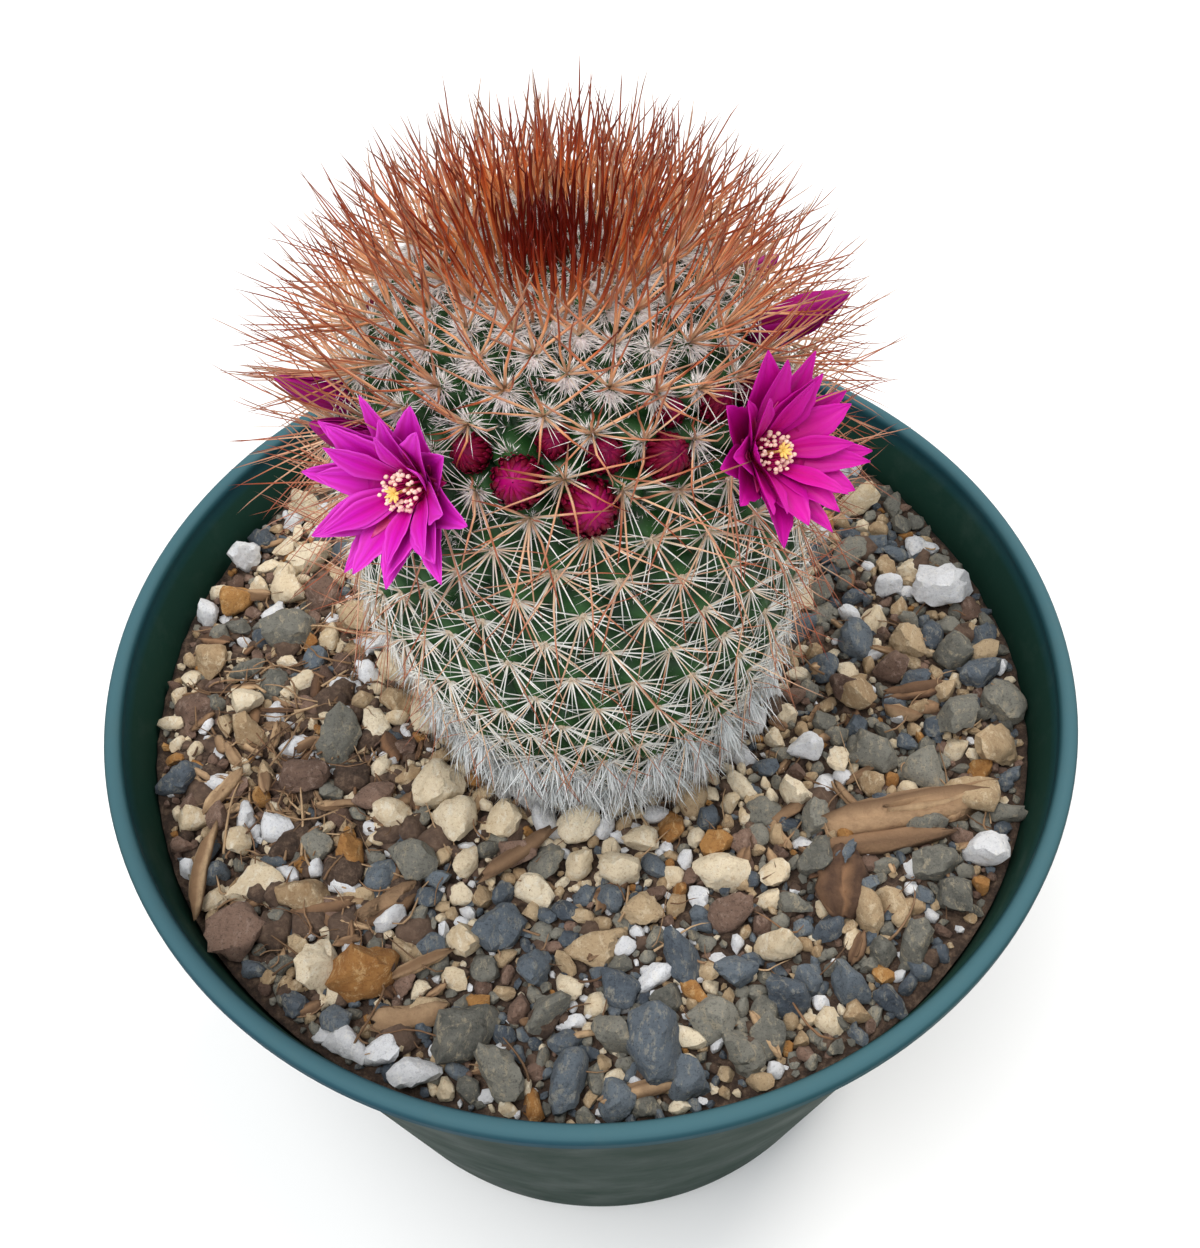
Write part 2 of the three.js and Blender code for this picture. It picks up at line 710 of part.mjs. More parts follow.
function makeSoil() {
  const random = makeRandom(31);
  const bottom = POT_FLOOR + FIT_GAP;
  const profile = [
    [0, bottom],
    [innerRadiusAt(bottom) - FIT_GAP, bottom],
    [innerRadiusAt(SOIL_TOP - 1) - FIT_GAP, SOIL_TOP - 1],
    [innerRadiusAt(SOIL_TOP) - 8, SOIL_TOP],
    [0, SOIL_TOP],
  ];
  let soil = solidOf(turned(profile, SOIL_SIDES));
  for (const place of gritPlaces(random)) {
    const grain = stone(random, place.faces, place.size);
    grain.translate(place.x, place.y, SOIL_TOP + 0.15 * place.size);
    soil = soil.add(solidOf(grain));
  }
  const hole = new THREE.CylinderGeometry(
    STEM_FOOT_RADIUS + 1.2,
    STEM_FOOT_RADIUS - 5 + FIT_GAP,
    ROOT_DEPTH + 6,
    24,
  );
  hole.rotateX(Math.PI / 2);
  hole.translate(STEM_FOOT.x, STEM_FOOT.y, SOIL_TOP - ROOT_DEPTH - FIT_GAP + (ROOT_DEPTH + 6) / 2);
  return largestBody(soil.subtract(solidOf(hole)));
}

// Assembly

const cactus = new THREE.Group();

function addNode(name, solid, colour) {
  const mesh = new THREE.Mesh(geometryOf(solid), new THREE.MeshStandardMaterial(COLOURS[colour]));
  mesh.name = name;
  cactus.add(mesh);
}

// The hole in the stem that a flower's tube stands in
function flowerSocket() {
  const wall = FLOWER_TUBE.map(([radius, height]) => [radius + FIT_GAP, height]);
  const [footRadius] = wall[0];
  const [, rimHeight] = wall[wall.length - 1];
  return solidOf(turned([[0, 0], [footRadius, 0], ...wall, [0, rimHeight]], 10));
}

const lastAreole = Math.floor(downAtHeight(LOWEST_AREOLE_HEIGHT) / AREOLE_STEP);
const blooms = [];
const sockets = [];

OPEN_FLOWERS.forEach((flower, i) => {
  const seat = rootOf(flower);
  addNode(flower.name + "_petals", planted(makeCorolla(11 + i), seat, flower.turn), "petals");
  addNode(flower.name + "_stamens", planted(makeStamens(21 + i), seat, flower.turn), "stamens");
  blooms.push({ ...seat, length: FLOWER_LENGTH, radiusAt: (along) => 2.4 + Math.max(0, along - 3) });
  sockets.push(planted(flowerSocket(), seat, flower.turn));
});
for (const bud of POINTED_BUDS) {
  const seat = rootOf(bud);
  addNode(bud.name, planted(pointedBud(bud.width, bud.length, 0), seat), "petals");
  blooms.push({ ...seat, length: bud.length, radiusAt: () => bud.width / 2 });
  sockets.push(planted(pointedBud(bud.width, bud.length, FIT_GAP), seat));
}
for (const bud of ROUND_BUDS) {
  const seat = rootOf(bud);
  addNode(bud.name, planted(roundBud(bud.width, 0), seat), "bud");
  blooms.push({ ...seat, length: bud.width * ROUND_BUD_LENGTH, radiusAt: () => bud.width / 2 });
  sockets.push(planted(roundBud(bud.width, FIT_GAP), seat));
}

let stem = addCrownSpines(makeStem(blooms, lastAreole));
for (const socket of sockets) stem = stem.subtract(socket);
addNode("stem", largestBody(stem), "stem");
addNode("soil", makeSoil(), "soil");
addNode("pot", makePot(), "pot");

export default cactus;
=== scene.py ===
"""Looks of a spiny pincushion cactus in flower, standing in gritty soil in a plastic nursery pot.

Lengths are in millimetres, in the frame of the CAD model, and turn into metres where a mesh is made.
"""
import math

import bpy
import numpy as np
from mathutils import Matrix


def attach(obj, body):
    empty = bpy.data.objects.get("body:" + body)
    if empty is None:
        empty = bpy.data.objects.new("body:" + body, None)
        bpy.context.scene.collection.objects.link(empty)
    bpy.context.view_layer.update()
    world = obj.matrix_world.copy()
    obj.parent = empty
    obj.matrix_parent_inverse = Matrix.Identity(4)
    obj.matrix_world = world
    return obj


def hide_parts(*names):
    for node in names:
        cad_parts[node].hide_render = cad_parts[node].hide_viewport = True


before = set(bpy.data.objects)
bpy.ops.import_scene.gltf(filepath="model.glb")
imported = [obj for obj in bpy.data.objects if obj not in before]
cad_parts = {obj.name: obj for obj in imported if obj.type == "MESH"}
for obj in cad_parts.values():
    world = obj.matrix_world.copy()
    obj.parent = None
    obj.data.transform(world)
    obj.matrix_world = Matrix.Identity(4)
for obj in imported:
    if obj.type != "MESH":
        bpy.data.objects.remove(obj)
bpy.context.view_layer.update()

MM = 0.001

# Camera of the photograph
PHOTO_SIZE = (1200, 1248)
FOCAL_PIXELS = 1400
SENSOR = 36.0
CAMERA_PLACE = np.array([1.924, -129.297, 288.590])
CAMERA_RIGHT = np.array([0.99951252, -0.02500857, -0.01868926])
CAMERA_UP = np.array([0.03122046, 0.80064097, 0.59833044])
CAMERA_BACK = np.array([0.0, -0.59862225, 0.80103146])

# Pot
POT_HEIGHT = 108.0
RIM_RADIUS = 76.0
RIM_HEIGHT = 3.0
MOUTH_RADIUS = 73.2
WALL = 1.2
WALL_TAPER = 0.166
FOOT_WIDTH = 4.5
FOOT_DEPTH = 2.5
POT_FLOOR = 4.0
DRAIN_RADIUS = 4.5
DRAIN_CIRCLE = 38.0
DRAIN_HOLES = 6
FIT_GAP = 0.3

# Soil
SOIL_TOP = POT_HEIGHT - 12.0

# Stem
STEM_HEIGHT = 86.6
STEM_RADIUS = 32.0
STEM_FOOT_RADIUS = 23.1
WIDEST_AT = 0.43
FLANK_POWER = 1.23
DOME_POWER = 2.82
STEM_FOOT = np.array([1.5, 3.7])
STEM_CROWN = np.array([-2.4, 3.2])
ROOT_DEPTH = 8.0
SKIN_STEP = 0.88

# Spiral of areoles, counted from the crown
DIVERGENCE = 99.486
AREOLE_STEP = 0.2527
SPIRAL_START = -81.1
SPIRAL_LEAN = 0.075
FIRST_AREOLE = 8
# How far apart in number an areole and the next one up in its row are. The axil lies halfway between them
ROW_STEP = 29
TUBERCLE_RELIEF = 3.4
BLOOM_DEPTH = 3.1
# The angle from one organ to the next on a crowded crown
GOLDEN_ANGLE = 137.5

# Spines
RADIALS = 15
RADIAL_LENGTH = 7.5
# Central spines of young and of old areoles, the surest first: degrees round the areole and off the skin
YOUNG_CENTRALS = [
    (-68, 34), (20, 60), (66, 34), (-112, 40), (110, 40), (-24, 48), (172, 50),
    (44, 46), (-144, 46), (142, 48), (-84, 60), (88, 62), (0, 36),
]
OLD_CENTRALS = [
    (150, 34), (-138, 34), (-58, 38), (72, 40), (-100, 34), (108, 36), (20, 48),
    (-20, 42), (-165, 38), (48, 36), (-80, 50), (92, 52), (176, 46),
]
FIRST_CENTRALS = 36
# Young spines stand up towards the light
YOUNG_LEAN = np.array([0.0, 0.0, 0.03])
# Where along a needle its rings of points lie
HAIR_RINGS = (0.0,)
FINE_RINGS = (0.0, 0.6)
STOUT_RINGS = (0.0, 0.3, 0.6, 0.85)
# How a needle gets past a flower or bud: how steeply it is lifted, and the part of its length that it keeps
WAYS_OVER = [(0.3, 1), (0.6, 1), (1.0, 1), (1.7, 1), (0.0, 0.66), (0.6, 0.66), (0.2, 0.42)]
BLOOM_MARGIN = 0.12

# Flowers and buds: the areole that each grows above, the way that it faces and how steeply it rises.
# Where one sits beside the middle of its axil, aside and lower say how many degrees and millimetres.
# pale=1 gives a flower painted light, lighter and more violet as if lit by the sky; pale=0 gives the deeper
# colours of painted shade.
OPEN_FLOWERS = {
    "flower_left": dict(areole=138, aside=-3, lower=0.6, face=-31, rise=32, turn=8, seed=3, pale=1),
    "flower_right": dict(areole=157, aside=-2, lower=1.8, face=43, rise=42, turn=20, seed=8, pale=0),
}
POINTED_BUDS = {
    "pointed_bud_right": dict(areole=132, lower=1.5, face=84, rise=34, width=4.6, length=14.5),
    "pointed_bud_left": dict(areole=145, face=-62, rise=46, width=3.8, length=12.5),
    "pointed_bud_far_left": dict(areole=152, rise=34, width=3.6, length=12),
    "pointed_bud_back_right": dict(areole=136, lower=8, rise=8, width=3.6, length=11),
    "pointed_bud_back": dict(areole=129, lower=8, rise=10, width=3.8, length=9.5),
    "pointed_bud_back_left": dict(areole=137, lower=8, rise=10, width=3.6, length=9.5),
}
ROUND_BUDS = {
    "bud_front": dict(areole=142, aside=2.2, lower=0.8, face=10, rise=42, width=7),
    "bud_front_left": dict(areole=131, rise=46, width=6.4),
    "bud_front_right": dict(areole=135, aside=1.2, face=32, rise=50, width=5.8),
    "bud_upper_left": dict(areole=113, rise=56, width=4),
    "bud_upper_right": dict(areole=124, rise=56, width=4.6),
    "bud_high_right": dict(areole=117, rise=58, width=3.6),
    "bud_beside_left": dict(areole=120, rise=48, width=4.8),
    "bud_beside_right": dict(areole=128, rise=52, width=4.6),
    "bud_right": dict(areole=139, rise=48, width=4.2),
    "bud_back_right": dict(areole=136, lower=1.5, rise=18, width=4.6),
    "bud_back_middle": dict(areole=140, rise=46, width=4.8),
    "bud_back": dict(areole=144, rise=44, width=5.6),
    "bud_back_left": dict(areole=148, lower=1.5, rise=20, width=4.2),
}
BUD_LENGTH = 1.12
FLOWER_LENGTH = 16.0


# Small helpers

def unit(vectors):
    return vectors / np.maximum(np.linalg.norm(vectors, axis=-1, keepdims=True), 1e-9)


def smoothstep(x, low, high):
    t = np.clip((x - low) / (high - low), 0, 1)
    return t * t * (3 - 2 * t)


def cross_frames(directions):
    """Two unit vectors square to each direction."""
    helper = np.where(np.abs(directions[:, 2:3]) > 0.9, [[1.0, 0, 0]], [[0, 0, 1.0]])
    u = unit(np.cross(directions, helper))
    return u, np.cross(directions, u)


def add_piece(name, points, faces, material, slot, replaces=(), **attributes):
    """Makes a piece from points in millimetres and triangles, and lets it ride on the frame."""
    mesh = bpy.data.meshes.new(name)
    faces = np.asarray(faces, np.int32)
    mesh.vertices.add(len(points))
    mesh.vertices.foreach_set("co", (np.asarray(points) * MM).astype(np.float32).ravel())
    mesh.loops.add(faces.size)
    mesh.loops.foreach_set("vertex_index", faces.ravel())
    mesh.polygons.add(len(faces))
    mesh.polygons.foreach_set("loop_start", np.arange(0, faces.size, 3, dtype=np.int32))
    mesh.update(calc_edges=True)
    mesh.polygons.foreach_set("use_smooth", np.full(len(faces), True))
    for attribute, values in attributes.items():
        layer = mesh.attributes.new(attribute, "FLOAT", "POINT")
        layer.data.foreach_set("value", np.asarray(values, np.float32))
    mesh.materials.append(material)
    piece = bpy.data.objects.new(name, mesh)
    bpy.context.scene.collection.objects.link(piece)
    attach(piece, "root")
    if replaces:
        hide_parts(*replaces)
    return piece


def grid_faces(rows, columns, closed=True):
    """Triangles of a grid of rows by columns points, its columns closed into a ring or open."""
    last = columns if closed else columns - 1
    row, column = np.meshgrid(np.arange(rows - 1), np.arange(last), indexing="ij")
    a = (row * columns + column).ravel()
    b = (row * columns + (column + 1) % columns).ravel()
    return np.concatenate([np.stack([a, b, b + columns], 1), np.stack([a, b + columns, a + columns], 1)])


def cap_faces(first, columns, tip):
    """Triangles from a ring of points, the first of them given, to one more point."""
    ring = np.arange(columns)
    return np.stack([first + ring, first + (ring + 1) % columns, np.full(columns, tip)], 1)


def turned_profile(profile, columns):
    """Points of a profile of [radius, height] turned round the Z axis, row by row."""
    angle = 2 * np.pi * np.arange(columns) / columns
    radius, height = np.asarray(profile).T
    x, y = np.outer(radius, np.cos(angle)), np.outer(radius, np.sin(angle))
    return np.stack([x, y, np.outer(height, np.ones(columns))], -1).reshape(-1, 3)


def ball(rows, columns, first=0.03, last=np.pi - 0.03):
    """Points and faces of a unit ball, or of its part between two angles from the top."""
    polar = np.linspace(first, last, rows)
    return turned_profile(np.stack([np.sin(polar), np.cos(polar)], 1), columns), grid_faces(rows, columns)


def turned_about(points, degrees):
    angle = math.radians(degrees)
    cosine, sine = math.cos(angle), math.sin(angle)
    return points @ np.array([[cosine, -sine, 0], [sine, cosine, 0], [0, 0, 1]]).T


def tilted(points, rng, about_x, about_y):
    """Points tilted at random, with the mean tilts about X and Y in radians."""
    first = Matrix.Rotation(rng.normal(0, about_x), 3, "X")
    second = Matrix.Rotation(rng.normal(0, about_y), 3, "Y")
    return points @ np.array(first @ second).T


def repeated(size, faces, count):
    """The faces of count copies of a shape of size points."""
    offsets = np.arange(count)[:, None, None] * size
    return (np.asarray(faces)[None] + offsets).reshape(-1, 3)


def strands(roots, tips, thickness, bends=None, sides=3, rings=(0.0, 0.5), taper=0.6, waves=None):
    """Tapering needles from roots to tips. Returns the points, the faces and the share along each needle."""
    u, v = cross_frames(unit(tips - roots))
    angles = 2 * np.pi * np.arange(sides) / sides
    around = np.cos(angles)[None, :, None] * u[:, None] + np.sin(angles)[None, :, None] * v[:, None]
    rows = []
    for share in rings:
        middle = roots + (tips - roots) * share
        if bends is not None:
            middle = middle + bends * 4 * share * (1 - share)
        if waves is not None:
            middle = middle + waves * math.sin(2 * math.pi * share)
        width = thickness * (1 - share) ** taper
        rows.append(middle[:, None] + around * width[:, None, None])
    rows.append(tips[:, None])
    points = np.concatenate(rows, 1)
    faces = grid_faces(len(rings), sides).tolist()
    top = sides * (len(rings) - 1)
    faces += [[top + i, top + (i + 1) % sides, top + sides] for i in range(sides)]
    faces += [[0, i + 1, i] for i in range(1, sides - 1)]
    along = np.tile([*np.repeat(rings, sides), 1.0], len(roots))
    return points.reshape(-1, 3), repeated(points.shape[1], faces, len(roots)), along


def on_needles(values, sides, rings):
    """One value for each needle, given to all its points."""
    return np.repeat(values, sides * len(rings) + 1)


# Materials

class Shader:
    """A procedural material, built up node by node."""

    def __init__(self, name, roughness, ior=None):
        self.material = bpy.data.materials.new(name)
        self.material.use_nodes = True
        self.tree = self.material.node_tree
        self.surface = self.tree.nodes["Principled BSDF"]
        self.surface.inputs["Roughness"].default_value = roughness
        if ior:
            self.surface.inputs["IOR"].default_value = ior

    def soft(self, weight, radius):
        """Light that goes a little way in, with a radius in metres for each colour."""
        self.surface.inputs["Subsurface Weight"].default_value = weight
        self.surface.inputs["Subsurface Radius"].default_value = radius

    def node(self, kind, **settings):
        made = self.tree.nodes.new("ShaderNode" + kind)
        for key, value in settings.items():
            setattr(made, key, value)
        return made

    def feed(self, socket, value):
        if isinstance(value, bpy.types.NodeSocket):
            self.tree.links.new(value, socket)
        else:
            socket.default_value = value

    def attribute(self, name):
        return self.node("Attribute", attribute_name=name).outputs["Fac"]

    def noise(self, size, detail, roughness=0.6, stretch=None):
        """Noise whose lumps measure about size millimetres."""
        coordinates = self.node("TexCoord").outputs["Object"]
        if stretch:
            mapping = self.node("Mapping")
            self.feed(mapping.inputs["Vector"], coordinates)
            mapping.inputs["Scale"].default_value = stretch
            coordinates = mapping.outputs["Vector"]
        noise = self.node("TexNoise")
        self.feed(noise.inputs["Vector"], coordinates)
        noise.inputs["Scale"].default_value = 1 / (size * MM)
        noise.inputs["Detail"].default_value = detail
        noise.inputs["Roughness"].default_value = roughness
        return noise.outputs["Fac"]

    def cells(self, size):
        """Distance from the middle of cells that measure about size millimetres."""
        cells = self.node("TexVoronoi")
        self.feed(cells.inputs["Vector"], self.node("TexCoord").outputs["Object"])
        cells.inputs["Scale"].default_value = 1 / (size * MM)
        return cells.outputs["Distance"]

    def ramp(self, factor, *stops):
        """Colours or grey levels between stops of (place, colour)."""
        ramp = self.node("ValToRGB")
        self.feed(ramp.inputs["Fac"], factor)
        elements = ramp.color_ramp.elements
        while len(elements) < len(stops):
            elements.new(0.5)
        for element, (place, colour) in zip(elements, stops):
            element.position = place
            element.color = (*colour, 1) if isinstance(colour, tuple) else (colour, colour, colour, 1)
        return ramp.outputs["Color"]

    def mask(self, factor, none, full, share=1.0):
        """0 where the factor equals none, share where it equals full, and a slope between them."""
        stops = ((none, 0.0), (full, share)) if full > none else ((full, share), (none, 0.0))
        return self.ramp(factor, *stops)

    def mix(self, factor, first, second):
        mix = self.node("Mix", data_type="RGBA", clamp_result=True)
        self.feed(mix.inputs[0], factor)
        for socket, value in ((mix.inputs[6], first), (mix.inputs[7], second)):
            self.feed(socket, (*value, 1) if isinstance(value, tuple) else value)
        return mix.outputs[2]

    def times(self, first, second):
        node = self.node("Math", operation="MULTIPLY")
        self.feed(node.inputs[0], first)
        self.feed(node.inputs[1], second)
        return node.outputs[0]

    def colour(self, value):
        self.feed(self.surface.inputs["Base Color"], value)

    def roughness(self, value):
        self.feed(self.surface.inputs["Roughness"], value)

    def bump(self, height, distance, strength=1.0):
        """Bump whose full height is distance millimetres."""
        bump = self.node("Bump")
        self.feed(bump.inputs["Height"], height)
        bump.inputs["Distance"].default_value = distance * MM
        bump.inputs["Strength"].default_value = strength
        self.feed(self.surface.inputs["Normal"], bump.outputs["Normal"])


def pot_material():
    shader = Shader("pot_plastic", 0.5, ior=1.12)
    cloud = shader.noise(60, 3)
    wall = shader.ramp(cloud, (0.3, (0.0075, 0.026, 0.018)), (0.7, (0.011, 0.036, 0.025)))
    # Painted reflection: the rim is lighter and bluer than the wall, as the sky mirrored in the glossy
    # plastic.
    rim = shader.ramp(cloud, (0.35, (0.013, 0.054, 0.060)), (0.7, (0.012, 0.051, 0.076)))
    colour = shader.mix(shader.attribute("rim"), wall, rim)
    # Painted highlight: a light line along the top of the lip.
    colour = shader.mix(shader.attribute("lip"), colour, (0.066, 0.145, 0.170))
    dust = shader.mask(shader.noise(9, 6, 0.7), 0.52, 0.78, 0.5)
    colour = shader.mix(shader.times(dust, 0.25), colour, (0.09, 0.12, 0.10))
    # Painted shade: the outside of the pot below the rim is darkened.
    shader.colour(shader.mix(shader.attribute("shade"), colour, (0.003, 0.018, 0.011)))
    shader.roughness(shader.ramp(shader.noise(14, 5), (0.3, 0.45), (0.75, 0.65)))
    shader.bump(shader.noise(1.1, 3), 0.04, 0.4)
    return shader.material


def skin_material():
    shader = Shader("cactus_skin", 0.42, ior=1.3)
    shader.soft(0.05, (0.001, 0.002, 0.0006))
    green = shader.ramp(shader.noise(7, 4), (0.3, (0.006, 0.030, 0.008)), (0.7, (0.015, 0.060, 0.013)))
    # Painted light: the tips of the tubercles are a lighter green.
    tips = shader.mix(shader.attribute("crest"), green, (0.032, 0.112, 0.023))
    low = shader.mix(shader.attribute("low"), tips, (0.080, 0.160, 0.038))
    # Painted shade: the valleys between the tubercles are darkened.
    axil = shader.mix(shader.attribute("valley"), low, (0.003, 0.015, 0.005))
    specks = shader.mask(shader.cells(0.55), 0.24, 0.0)
    shader.colour(shader.mix(shader.times(specks, 0.12), axil, (0.40, 0.52, 0.36)))
    shader.roughness(shader.ramp(shader.noise(3, 4), (0.35, 0.28), (0.7, 0.5)))
    shader.bump(shader.noise(0.8, 3), 0.08, 0.6)
    return shader.material


def radial_material():
    shader = Shader("white_spine", 0.4)
    shader.soft(0.1, (0.0006, 0.0005, 0.0004))
    along = shader.attribute("along")
    ivory = shader.ramp(
        along, (0.0, (0.84, 0.74, 0.60)), (0.12, (0.98, 0.96, 0.90)), (1.0, (1.0, 0.99, 0.96))
    )
    warm = shader.ramp(
        along, (0.0, (0.62, 0.38, 0.22)), (0.4, (0.84, 0.68, 0.50)), (1.0, (0.84, 0.66, 0.50))
    )
    shader.colour(shader.mix(shader.attribute("tint"), ivory, warm))
    return shader.material


def central_material():
    shader = Shader("brown_spine", 0.36, ior=1.22)
    shader.soft(0.08, (0.0008, 0.0003, 0.0001))
    along = shader.attribute("along")
    young = shader.ramp(
        along,
        (0.0, (0.94, 0.70, 0.48)),
        (0.3, (0.84, 0.41, 0.19)),
        (0.55, (0.54, 0.125, 0.042)),
        (0.8, (0.16, 0.020, 0.009)),
        (1.0, (0.06, 0.008, 0.005)),
    )
    old = shader.ramp(
        along,
        (0.0, (0.90, 0.80, 0.65)),
        (0.35, (0.76, 0.52, 0.36)),
        (0.65, (0.46, 0.17, 0.090)),
        (1.0, (0.13, 0.026, 0.015)),
    )
    aged = shader.mix(shader.attribute("age"), young, old)
    paler = shader.mix(shader.times(shader.attribute("tint"), 0.4), aged, (0.86, 0.62, 0.42))
    shader.colour(shader.mix(darkening(shader), paler, (0.26, 0.040, 0.014)))
    return shader.material


def darkening(shader):
    """Some needles are darker than others, and more so towards their tips."""
    deep = shader.mask(shader.attribute("deep"), 0.45, 0.95, 0.75)
    return shader.times(deep, shader.ramp(shader.attribute("along"), (0.0, 0.35), (0.5, 1.0)))


def crown_material():
    shader = Shader("crown_spine", 0.38, ior=1.2)
    along = shader.attribute("along")
    maroon = shader.ramp(
        along, (0.0, (0.36, 0.040, 0.010)), (0.4, (0.200, 0.011, 0.004)), (1.0, (0.040, 0.002, 0.002))
    )
    rust = shader.ramp(
        along,
        (0.0, (0.94, 0.64, 0.42)),
        (0.3, (0.86, 0.36, 0.13)),
        (0.55, (0.60, 0.125, 0.033)),
        (0.8, (0.24, 0.026, 0.009)),
        (1.0, (0.06, 0.007, 0.005)),
    )
    needle = shader.mix(shader.attribute("tint"), maroon, rust)
    shader.colour(shader.mix(darkening(shader), needle, (0.17, 0.018, 0.008)))
    return shader.material


def felt_material():
    shader = Shader("areole_felt", 0.95)
    lumps = shader.noise(0.35, 4)
    old = shader.ramp(lumps, (0.3, (0.50, 0.33, 0.20)), (0.7, (0.85, 0.72, 0.56)))
    young = shader.ramp(lumps, (0.3, (0.92, 0.78, 0.77)), (0.7, (1.0, 0.92, 0.91)))
    shader.colour(shader.mix(shader.attribute("age"), young, old))
    shader.bump(shader.noise(0.22, 4), 0.3)
    return shader.material


def wool_material(name, colour):
    shader = Shader(name, 0.9)
    shader.soft(0.1, (0.0005, 0.0005, 0.0005))
    light = tuple(min(1.0, 1.06 * c) for c in colour)
    dark = tuple(0.82 * c for c in colour)
    shader.colour(shader.mix(shader.attribute("tint"), light, dark))
    return shader.material


def petal_material(name, shade):
    """Satin petals. shade darkens them with painted shade, for the buds that are still folded."""
    shader = Shader(name, 0.55)
    shader.soft(0.15, (0.0010, 0.0002, 0.0007))
    shader.surface.inputs["Specular IOR Level"].default_value = 0.2
    along = shader.attribute("along")
    deep = shader.ramp(
        along,
        (0.0, (0.38, 0.000, 0.040)),
        (0.3, (0.44, 0.000, 0.140)),
        (0.65, (0.50, 0.000, 0.250)),
        (1.0, (0.58, 0.006, 0.360)),
    )
    light = shader.ramp(
        along,
        (0.0, (0.44, 0.000, 0.090)),
        (0.3, (0.52, 0.000, 0.280)),
        (0.65, (0.60, 0.006, 0.460)),
        (1.0, (0.68, 0.035, 0.580)),
    )
    # Painted light: the flower marked pale gets the lighter, more violet colours of one lit by the sky; the
    # other gets the deeper colours of painted shade.
    pale = shader.attribute("pale")
    blade = shader.mix(pale, deep, light)
    border = shader.mix(pale, (0.56, 0.006, 0.350), (0.76, 0.070, 0.640))
    margin = shader.mix(shader.times(shader.attribute("edge"), 0.65), blade, border)
    vein = shader.attribute("vein")
    veined = shader.mix(shader.times(shader.mask(vein, 0.35, 0.75), 0.45), margin, (0.44, 0.0, 0.20))
    patch = shader.mask(shader.noise(2.2, 3), 0.35, 0.75)
    patched = shader.mix(shader.times(patch, 0.2), veined, (0.62, 0.002, 0.38))
    # Painted shade: shade darkens the whole petal towards a dark crimson.
    shader.colour(shader.mix(shade, patched, (0.10, 0.000, 0.025)))
    shader.bump(vein, 0.10, 0.7)
    return shader.material


def sepal_material():
    shader = Shader("sepal", 0.45)
    shader.soft(0.08, (0.0006, 0.0002, 0.0003))
    blade = shader.ramp(
        shader.attribute("along"),
        (0.0, (0.20, 0.030, 0.012)),
        (0.4, (0.36, 0.004, 0.045)),
        (1.0, (0.50, 0.002, 0.150)),
    )
    shader.colour(shader.mix(shader.attribute("edge"), blade, (0.60, 0.05, 0.26)))
    return shader.material


def bud_material():
    shader = Shader("bud_scales", 0.45, ior=1.25)
    shader.soft(0.1, (0.0008, 0.0002, 0.0003))
    blade = shader.ramp(
        shader.attribute("along"),
        (0.0, (0.040, 0.000, 0.002)),
        (0.45, (0.095, 0.000, 0.008)),
        (1.0, (0.190, 0.000, 0.030)),
    )
    core = shader.mix(shader.attribute("core"), blade, (0.38, 0.000, 0.130))
    shader.colour(shader.mix(shader.times(shader.attribute("edge"), 0.35), core, (0.20, 0.004, 0.026)))
    shader.bump(shader.noise(0.5, 3), 0.05, 0.6)
    return shader.material


def stamen_material():
    shader = Shader("anther", 0.75)
    pale = shader.ramp(shader.noise(0.4, 3), (0.3, (0.98, 0.66, 0.50)), (0.7, (1.0, 0.84, 0.66)))
    pink = shader.mix(shader.attribute("pink"), pale, (0.78, 0.01, 0.26))
    shader.colour(shader.mix(shader.attribute("gold"), pink, (0.86, 0.60, 0.16)))
    shader.bump(shader.noise(0.2, 3), 0.05)
    return shader.material


def stone_material(name, dark, light, stain, speckle):
    """Rough stone: two tones in clouds, stained in patches and bands, with dark specks."""
    tones = np.array([dark, light, stain, speckle]) * STONE_SHADE
    dark, light, stain, speckle = (tuple(tone) for tone in tones.tolist())
    shader = Shader(name, 0.88)
    body = shader.mix(shader.attribute("tint"), dark, light)
    cloud = shader.mask(shader.noise(2.2, 7, 0.72), 0.36, 0.64)
    clouded = shader.mix(shader.times(cloud, 0.55), body, light)
    patches = shader.mask(shader.noise(1.2, 5, 0.75, (1.0, 0.4, 1.6)), 0.53, 0.62)
    stained = shader.mix(shader.times(patches, 0.65), clouded, stain)
    hollows = shader.mask(shader.noise(0.7, 4, 0.7), 0.46, 0.28)
    pitted = shader.mix(shader.times(hollows, 0.75), stained, speckle)
    specks = shader.mask(shader.noise(0.26, 2, 0.5), 0.60, 0.68)
    shader.colour(shader.mix(shader.times(specks, 0.55), pitted, speckle))
    shader.bump(shader.noise(1.3, 8, 0.75), 0.9, 0.9)
    return shader.material


def peat_material():
    shader = Shader("peat", 0.97)
    crumbs = shader.noise(1.4, 7, 0.75)
    clods = shader.ramp(
        crumbs, (0.3, (0.020, 0.012, 0.009)), (0.5, (0.080, 0.048, 0.032)), (0.72, (0.25, 0.165, 0.110))
    )
    shader.colour(shader.mix(shader.times(shader.attribute("tint"), 0.4), clods, (0.26, 0.165, 0.115)))
    shader.bump(crumbs, 1.1)
    return shader.material


def bark_material():
    """Wood and bark, its grain drawn out along each piece."""
    shader = Shader("bark", 0.9)
    grain = shader.mask(shader.attribute("grain"), 0.2, 0.8)
    dark = shader.ramp(grain, (0.0, (0.050, 0.022, 0.012)), (1.0, (0.23, 0.115, 0.055)))
    light = shader.ramp(grain, (0.0, (0.26, 0.15, 0.075)), (1.0, (0.62, 0.43, 0.25)))
    wood = shader.mix(shader.attribute("tint"), dark, light)
    patch = shader.mask(shader.noise(1.6, 6, 0.7), 0.4, 0.65)
    shader.colour(shader.mix(shader.times(patch, 0.4), wood, (0.16, 0.085, 0.045)))
    shader.bump(shader.noise(0.7, 6, 0.7), 0.35)
    return shader.material


# Stem

